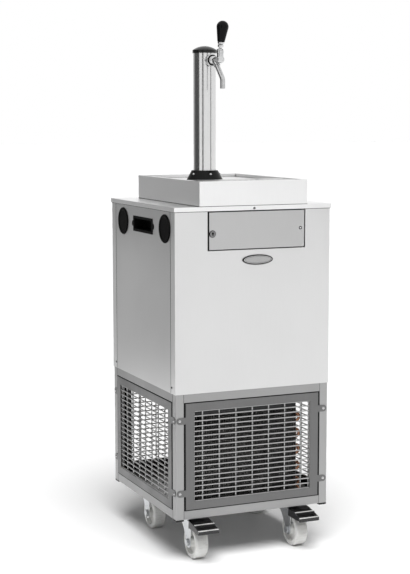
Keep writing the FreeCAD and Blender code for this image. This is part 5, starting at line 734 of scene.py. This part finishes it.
def frame_joints():
    """Fine dark lines where the rails butt against the posts."""
    inset, end_gap, foot_gap, head_gap = 0.1, 0.2, 0.6, 0.4
    post_x = FRAME_HALF_X - TUBE - inset
    post_front = FRAME_FRONT + TUBE + inset
    post_back = FRAME_BACK - TUBE - inset
    spans = ((BAY_FOOT - TUBE + foot_gap, BAY_FOOT - end_gap),
             (BAY_HEAD + end_gap, BAY_HEAD + TUBE - head_gap))
    runs = []
    for low_end, high_end in spans:
        for side in (-1, 1):
            for face in (FRAME_FRONT, FRAME_BACK):
                runs.append([(side * post_x, face, low_end), (side * post_x, face, high_end)])
            for depth in (post_front, post_back):
                runs.append([(side * FRAME_HALF_X, depth, low_end), (side * FRAME_HALF_X, depth, high_end)])
    rubber_and_shade_piece("frame_joints", tubes(runs, 0.45, False, "POLY"))


def door_trim():
    """A black rubber edge in the door's gaps as painted shade, its lock's bezel, its keyhole and key slot in
    black as painted shade, and a rivet with its washer.
    """
    left, seam, right, back = -146.2, -143.0, 165.3, -244.0
    # painted shade: black strips for the shadow in the door's gaps, widest on the left
    edge = [((left, -254.5, 929.1), (seam - 0.02, back, 1040.1)),
            ((seam, -253.4, 928.95), (right, back, 930.07)),
            ((seam, -253.4, 1039.13), (right, back, 1040.0))]
    rubber_and_shade_piece("door_gap_painted_shade", blocks(edge, 0.15), "door")
    lock_x, lock_z = -132.5, 976.6
    bezel = [(9.7, 0), (10.6, 0), (10.6, 0.7), (9.7, 0.9), (9.7, 0)]
    rubber_and_shade_piece("lock_bezel", turned([(bezel, (lock_x, CASE_FRONT, lock_z), FORWARD)]), "door")
    # painted shade: the keyhole and key slot are black pieces for the dark opening
    head_face, hole_rise = -256.5, 1.6
    hole = [(0.2, 0), (3.4, 0), (3.4, 0.25), (0.2, 0.25)]
    rubber_and_shade_piece("lock_keyhole", turned([(hole, (lock_x, head_face, lock_z + hole_rise), FORWARD)]), "lock")
    half_slot, slot_drop, slot_height = 1.5, 5.5, 0.25
    slot = blocks([((lock_x - half_slot, head_face - slot_height, lock_z - slot_drop),
                    (lock_x + half_slot, head_face, lock_z + hole_rise))], 0.1)
    rubber_and_shade_piece("lock_key_slot", slot, "lock")
    rivet_x, rivet_z, washer_height = 153.0, 986.0, 0.2
    washer = [(2.0, 0), (5.0, 0), (5.0, 0.25), (2.0, 0.4)]
    head = [(0.2, 0), (2.6, 0.0), (2.4, 0.3), (1.6, 0.5), (0.2, 0.6)]
    rubber_and_shade_piece("door_rivet_washer", turned([(washer, (rivet_x, CASE_FRONT, rivet_z), FORWARD)]), "door")
    rivet = turned([(head, (rivet_x, CASE_FRONT - washer_height, rivet_z), FORWARD)])
    piece("door_rivet", rivet, "door", chrome("rivet_chrome", tone=0.75, rough=0.14))


def opening_painted_shade():
    """Painted shade on the front panel round the door's opening: a black rubber lip, widest on the left and
    at the foot.
    """
    left, right, foot, head = -146.6, 168.1, 928.5, 1040.7
    deep, shallow, back = -254.6, -254.4, -253.9
    left_lip, foot_lip, head_lip, right_lip = 1.6, 1.5, 0.6, 0.7
    # painted shade: black strips for the shadow in the opening's gap
    lips = [((left - left_lip, deep, foot - foot_lip), (left, back, head + head_lip)),
            ((left, deep, foot - foot_lip), (right, back, foot)),
            ((left, shallow, head), (right, back, head + head_lip)),
            ((right, shallow, foot - foot_lip), (right + right_lip, back, head + head_lip))]
    rubber_and_shade_piece("opening_painted_shade_lip", blocks(lips, 0.12))


def condenser_corners():
    """The condenser's low and high corners."""
    return [Vector(corner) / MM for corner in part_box("condenser")]


def air_baffle():
    """Folded sheet over the condenser, which makes the air go through the fins."""
    low_corner, high_corner = condenser_corners()
    left, right, front = low_corner.x, high_corner.x, low_corner.y + 2
    foot, head = high_corner.z + 0.3, 484.6
    sheet, fold = 1.2, 14.0
    sheets = [((left, front, foot), (right, front + sheet, head)),
              ((left, front + sheet, head - sheet), (right, front + fold, head)),
              ((left, front + sheet, foot), (right, front + fold, foot + sheet))]
    beads, half_bead, bead_height, bead_sink, bead_end = 6, 9.0, 1.6, 0.1, 6.0
    for step in range(beads):
        middle = left + (right - left) * (step + 0.5) / beads
        sheets.append(((middle - half_bead, front - bead_height, foot + bead_end),
                       (middle + half_bead, front + bead_sink, head - bead_end)))
    coat = coated("baffle_coat", (0.02, 0.02, 0.021), rough=0.5)
    piece("air_baffle", blocks(sheets, 0.5), "cabinet", coat)


def badge_rims():
    """Dark enamel round the bare oval badge."""
    centre = (12.0, 896.6)
    enamel = black_plastic("badge_enamel", tone=0.010, rough=0.25, grain=500.0, gloss=0.3)
    rim = oval_band(centre, (49.0, 15.0), (45.6, 11.8), -256.85, -254.05)
    line = oval_band(centre, (42.6, 9.4), (41.9, 8.8), -256.7, -256.3)
    piece("badge_rim", rim, "cabinet", enamel)
    piece("badge_line", line, "cabinet", enamel)


def condenser_bends():
    """Return bends of the condenser's copper tube, at both of its ends."""
    low_corner, high_corner = condenser_corners()
    pitch, foot, levels, run, tube, bend_steps = 25.4, 22.0, 11, 3.0, 4.6, 8
    paths = []
    for row in (12.0, 34.0):
        depth = low_corner.y + row
        for start, wall, way in ((0, low_corner.x, -1), (1, high_corner.x, 1)):
            for level in range(start, levels - 1, 2):
                middle = low_corner.z + foot + pitch * (level + 0.5)
                path = [(wall - way, depth, middle - pitch / 2)]
                for step in range(bend_steps + 1):
                    angle = math.pi * step / bend_steps - math.pi / 2
                    path.append((wall + way * (run + pitch / 2 * math.cos(angle)), depth,
                                 middle + pitch / 2 * math.sin(angle)))
                path.append((wall - way, depth, middle + pitch / 2))
                paths.append(path)
    pipe("condenser_bends", tubes(paths, tube, False, "POLY"))


def refrigerant_lines():
    """Pipes between the compressor, the condenser, the drier and the bath above."""
    drier_x, drier_y = 199, -20
    discharge = [(92, 60, 330), (92, 40, 378), (150, -20, 388),
                 (196, -110, 392), (196, -180, 406), (162, -180, 411)]
    liquid = [(162, -202, 160), (190, -202, 158), (drier_x, -150, 172), (drier_x, -50, 186),
              (drier_x, drier_y, 205), (drier_x, drier_y, 232)]
    outlet = [(drier_x, drier_y, 326), (drier_x, -14, 400), (184, 40, 450), (172, 62, 480), (172, 62, 511)]
    stub = [(118, 104, 326), (120, 106, 352), (126, 110, 368)]
    suction = [(58, 112, 326), (50, 128, 366), (40, 150, 400)]
    pipe("copper_lines", tubes([discharge, liquid, outlet, stub], 3.2))
    pipe("suction_line", tubes([suction], 4.8))
    sleeve = [(42, 147, 394), (38, 152, 410), (36, 154, 450), (36, 154, 510.5)]
    rubber_and_shade_piece("suction_sleeve", tubes([sleeve], 9.5))
    shell = [(3.4, 0), (5.0, 3), (11.0, 12), (11.0, 84), (5.0, 94), (3.4, 98)]
    pipe("filter_drier", turned([(shell, (drier_x, drier_y, 230), UPWARD)]))
    turns, turn_steps, rise, reach = 5, 16, 5.0, 20.0
    middle_x, middle_y, foot = 188, 92, 400
    coil = []
    for step in range(turns * turn_steps + 1):
        angle = 2 * math.pi * step / turn_steps
        coil.append((middle_x + reach * math.cos(angle), middle_y + reach * math.sin(angle),
                     foot + rise * step / turn_steps))
    pipe("capillary_coil", tubes([coil], 1.3))


def compressor_fittings():
    """Terminal cover with its wire clip, on the compressor's side."""
    cover = blocks([((-16, 58, 214), (14, 108, 288))], 4.0)
    piece("terminal_cover", cover, "cabinet", black_plastic("terminal_plastic", tone=0.02))
    clip = [(20, 52, 246), (-16, 54, 248), (-20, 60, 251), (-20, 106, 251), (-16, 112, 248), (20, 114, 246)]
    piece("terminal_clip", tubes([clip], 1.3), "cabinet", zinc_plate("clip_zinc", tone=0.66))


def dial_marks():
    """White ticks round the thermostat's dial, and the pointer on it."""
    dial_x, dial_z, tray_face, dial_face = -7.2, 984.0, -198.0, -217.2
    tick_count, first_tick, tick_pitch, tick_reach = 11, -60, 30, 20.6
    tick = [(0.1, 0), (0.75, 0), (0.75, 0.25), (0.1, 0.25)]
    white = moulded("mark_paint", (0.80, 0.80, 0.78))
    ticks = []
    for step in range(tick_count):
        angle = math.radians(first_tick + tick_pitch * step)
        spot = (dial_x + tick_reach * math.cos(angle), tray_face, dial_z + tick_reach * math.sin(angle))
        ticks.append((tick, spot, FORWARD))
    piece("dial_ticks", turned(ticks, 16), "cabinet", white)
    half_width, height, foot, head = 0.7, 0.25, 7, 17
    pointer = blocks([((dial_x - half_width, dial_face - height, dial_z + foot),
                       (dial_x + half_width, dial_face, dial_z + head))], 0.1)
    piece("dial_pointer", pointer, "dial", white)


def tap_rings():
    """Two black rings in the dish of the tap's collar: painted shade in its grooves."""
    tap_x, tap_z, steps = -67.0, 1481.0, 12
    rings = []
    for reach, thick, depth in ((15.2, 1.0, -104.6), (11.2, 0.8, -103.2)):
        outline = []
        for step in range(steps + 1):
            angle = 2 * math.pi * step / steps
            outline.append((reach + thick * math.cos(angle), thick * math.sin(angle)))
        rings.append((outline, (tap_x, depth, tap_z), FORWARD))
    # painted shade: black rings for the shadow in the collar's grooves
    rubber_and_shade_piece("collar_painted_shade_rings", turned(rings))


def pedal_trim():
    """Rubber ribs and the two folded edges of each brake pedal, whose pale grey is a painted highlight."""
    pedal_middle = 166.0
    rib_width = 3
    # ribs on the level part of the pedal
    flat_ribs, flat_start, flat_pitch, flat_half = 5, -262.0, 6.5, 27
    flat_foot, flat_head = 118.6, 120.4
    # ribs on its lip, which falls forward from the slope's edge by one in slope_run
    slope_ribs, slope_start, slope_pitch, slope_half = 3, -294.0, 7.5, 29
    slope_top, slope_edge, slope_run = 119.0, -269.0, 3.0
    # painted highlight: the folded edges are pale grey paint for the light they catch
    bright = coated("pedal_edge_painted_highlight", (0.62, 0.62, 0.61), rough=0.3)
    for side, middle in (("left", -pedal_middle), ("right", pedal_middle)):
        ribs = []
        for step in range(flat_ribs):
            front = flat_start + flat_pitch * step
            ribs.append(((middle - flat_half, front, flat_foot),
                         (middle + flat_half, front + rib_width, flat_head)))
        for step in range(slope_ribs):
            front = slope_start + slope_pitch * step
            level = slope_top - (slope_edge - front - rib_width / 2) / slope_run
            ribs.append(((middle - slope_half, front, level - 1.2),
                         (middle + slope_half, front + rib_width, level + 1.0)))
        body = f"front_{side}_brake"
        rubber_and_shade_piece(f"{side}_pedal_ribs", blocks(ribs, 0.4), body)
        edges = [((middle - 32.6, -271.5, 118.2), (middle + 32.6, -267, 120.0)),
                 ((middle - 32.8, -301.9, 103.2), (middle + 32.8, -296.0, 109.9))]
        piece(f"{side}_pedal_edges", blocks(edges, 0.5), body, bright)


grille_seals()
case_seams()
frame_joints()
door_trim()
opening_painted_shade()
air_baffle()
badge_rims()
condenser_bends()
refrigerant_lines()
compressor_fittings()
dial_marks()
tap_rings()
pedal_trim()


# studio: floor, light and camera

def flat_mesh(name, corners):
    """A single face between four corners."""
    mesh = bpy.data.meshes.new(name)
    mesh.from_pydata(corners, [], [(0, 1, 2, 3)])
    return mesh


def floor_material():
    """Pale floor that reads white where nothing shades it."""
    tree = Tree("studio_floor")
    tree.put("Roughness", 0.9)
    cloud = tree.noise(tree.place(), 0.8, 2.0, 0.5)
    tree.colour(tree.mix(cloud, grey(0.90), grey(0.92)))
    tree.put("Specular IOR Level", 0.0)
    path = tree.add("ShaderNodeLightPath")
    mirrored = tree.math("MAXIMUM", path.outputs["Is Glossy Ray"], path.outputs["Is Transmission Ray"])
    seen = tree.math("MAXIMUM", path.outputs["Is Camera Ray"], mirrored)
    tree.put("Emission Color", (1.0, 1.0, 1.0))
    tree.put("Emission Strength", tree.math("MULTIPLY", seen, FLOOR_GLOW))
    return tree.material


def studio_floor():
    reach = 60.0
    corners = [(-reach, -reach, 0), (reach, -reach, 0), (reach, reach, 0), (-reach, reach, 0)]
    mesh = flat_mesh("studio_floor", corners)
    floor = bpy.data.objects.new("studio_floor", mesh)
    bpy.context.scene.collection.objects.link(floor)
    mesh.materials.append(floor_material())


def studio_world():
    """White where it is seen, mirrored or seen through, and a weak fill elsewhere."""
    world = bpy.data.worlds.new("studio")
    world.use_nodes = True
    bpy.context.scene.world = world
    tree = world.node_tree
    tree.nodes.clear()
    output = tree.nodes.new("ShaderNodeOutputWorld")
    background = tree.nodes.new("ShaderNodeBackground")
    path = tree.nodes.new("ShaderNodeLightPath")
    mirrored = tree.nodes.new("ShaderNodeMath")
    mirrored.operation = "MAXIMUM"
    shown = tree.nodes.new("ShaderNodeMath")
    shown.operation = "MAXIMUM"
    level = tree.nodes.new("ShaderNodeMapRange")
    level.inputs["To Min"].default_value = FILL_LEVEL
    level.inputs["To Max"].default_value = BACKGROUND
    tree.links.new(path.outputs["Is Glossy Ray"], mirrored.inputs[0])
    tree.links.new(path.outputs["Is Transmission Ray"], mirrored.inputs[1])
    tree.links.new(mirrored.outputs["Value"], shown.inputs[0])
    tree.links.new(path.outputs["Is Camera Ray"], shown.inputs[1])
    tree.links.new(shown.outputs["Value"], level.inputs["Value"])
    tree.links.new(level.outputs["Result"], background.inputs["Strength"])
    background.inputs["Color"].default_value = (1, 1, 1, 1)
    tree.links.new(background.outputs["Background"], output.inputs["Surface"])


def sun_light(name, bearing, elevation, strength, angle):
    """Broad even light from far away, which the metal doesn't mirror as a spot.

    The bearing is counted from the camera, anticlockwise when seen from above.
    """
    data = bpy.data.lights.new(name, "SUN")
    data.energy = strength
    data.angle = math.radians(angle)
    light = bpy.data.objects.new(name, data)
    light.visible_glossy = False
    rise = math.radians(elevation)
    heading = math.atan2(CAMERA_PLACE[1], CAMERA_PLACE[0]) + math.radians(bearing)
    level = math.cos(rise)
    light.location = (level * math.cos(heading), level * math.sin(heading), math.sin(rise))
    light.rotation_euler = (-light.location).to_track_quat("-Z", "Y").to_euler()
    bpy.context.scene.collection.objects.link(light)


def card(name, start, end, foot, top, tone):
    """A card out of view between two bearings from the object, which the metal shows as a darker band.

    Bearings are counted from the camera, anticlockwise when seen from above.
    """
    distance = 3.0
    to_camera = Vector((CAMERA_PLACE[0], CAMERA_PLACE[1], 0)).normalized()
    sideways = Vector((-to_camera.y, to_camera.x, 0))
    feet, tops = [], []
    for bearing in (start, end):
        angle = math.radians(bearing)
        spot = (to_camera * math.cos(angle) + sideways * math.sin(angle)) * distance
        feet.append((*spot.xy, foot))
        tops.append((*spot.xy, top))
    mesh = flat_mesh(name, [*feet, *reversed(tops)])
    board = bpy.data.objects.new(name, mesh)
    bpy.context.scene.collection.objects.link(board)
    tree = Tree(name)
    cloud = tree.span(tree.noise(tree.place(), 0.7, 2.0, 0.5), 0.3, 0.7, 0.9, 1.1)
    tree.put("Base Color", (0.0, 0.0, 0.0))
    tree.put("Roughness", 1.0)
    tree.put("Specular IOR Level", 0.0)
    tree.put("Emission Color", (1.0, 1.0, 1.0))
    tree.put("Emission Strength", tree.math("MULTIPLY", cloud, tone))
    mesh.materials.append(tree.material)
    board.visible_camera = False
    board.visible_shadow = False
    board.visible_diffuse = False


def studio_camera():
    data = bpy.data.cameras.new("photo_camera")
    data.lens = CAMERA_LENS
    data.sensor_width = CAMERA_SENSOR
    data.sensor_fit = "AUTO"
    data.clip_end = 100.0
    camera = bpy.data.objects.new("photo_camera", data)
    yaw, pitch, roll = (math.radians(angle) for angle in (CAMERA_YAW, CAMERA_PITCH, CAMERA_ROLL))
    heading = Matrix.Rotation(-yaw, 4, "Z")
    tilt = Matrix.Rotation(math.pi / 2 - pitch, 4, "X")
    camera.matrix_world = Matrix.Translation(CAMERA_PLACE) @ heading @ tilt @ Matrix.Rotation(roll, 4, "Z")
    bpy.context.scene.collection.objects.link(camera)
    bpy.context.scene.camera = camera


studio_floor()
studio_world()
sun_light("key_sun", bearing=9, elevation=64, strength=3.5, angle=38)
card("left_card", start=-54, end=-116, foot=0.0, top=3.2, tone=0.10)
card("back_left_low_card", start=-116, end=-158, foot=0.0, top=0.72, tone=0.62)
card("back_left_high_card", start=-116, end=-158, foot=0.72, top=3.2, tone=0.40)
card("left_strip", start=-11, end=-25, foot=0.3, top=3.2, tone=0.16)
card("right_strip", start=60, end=69, foot=0.74, top=3.2, tone=0.14)
studio_camera()
bpy.context.scene.view_settings.view_transform = "Standard"
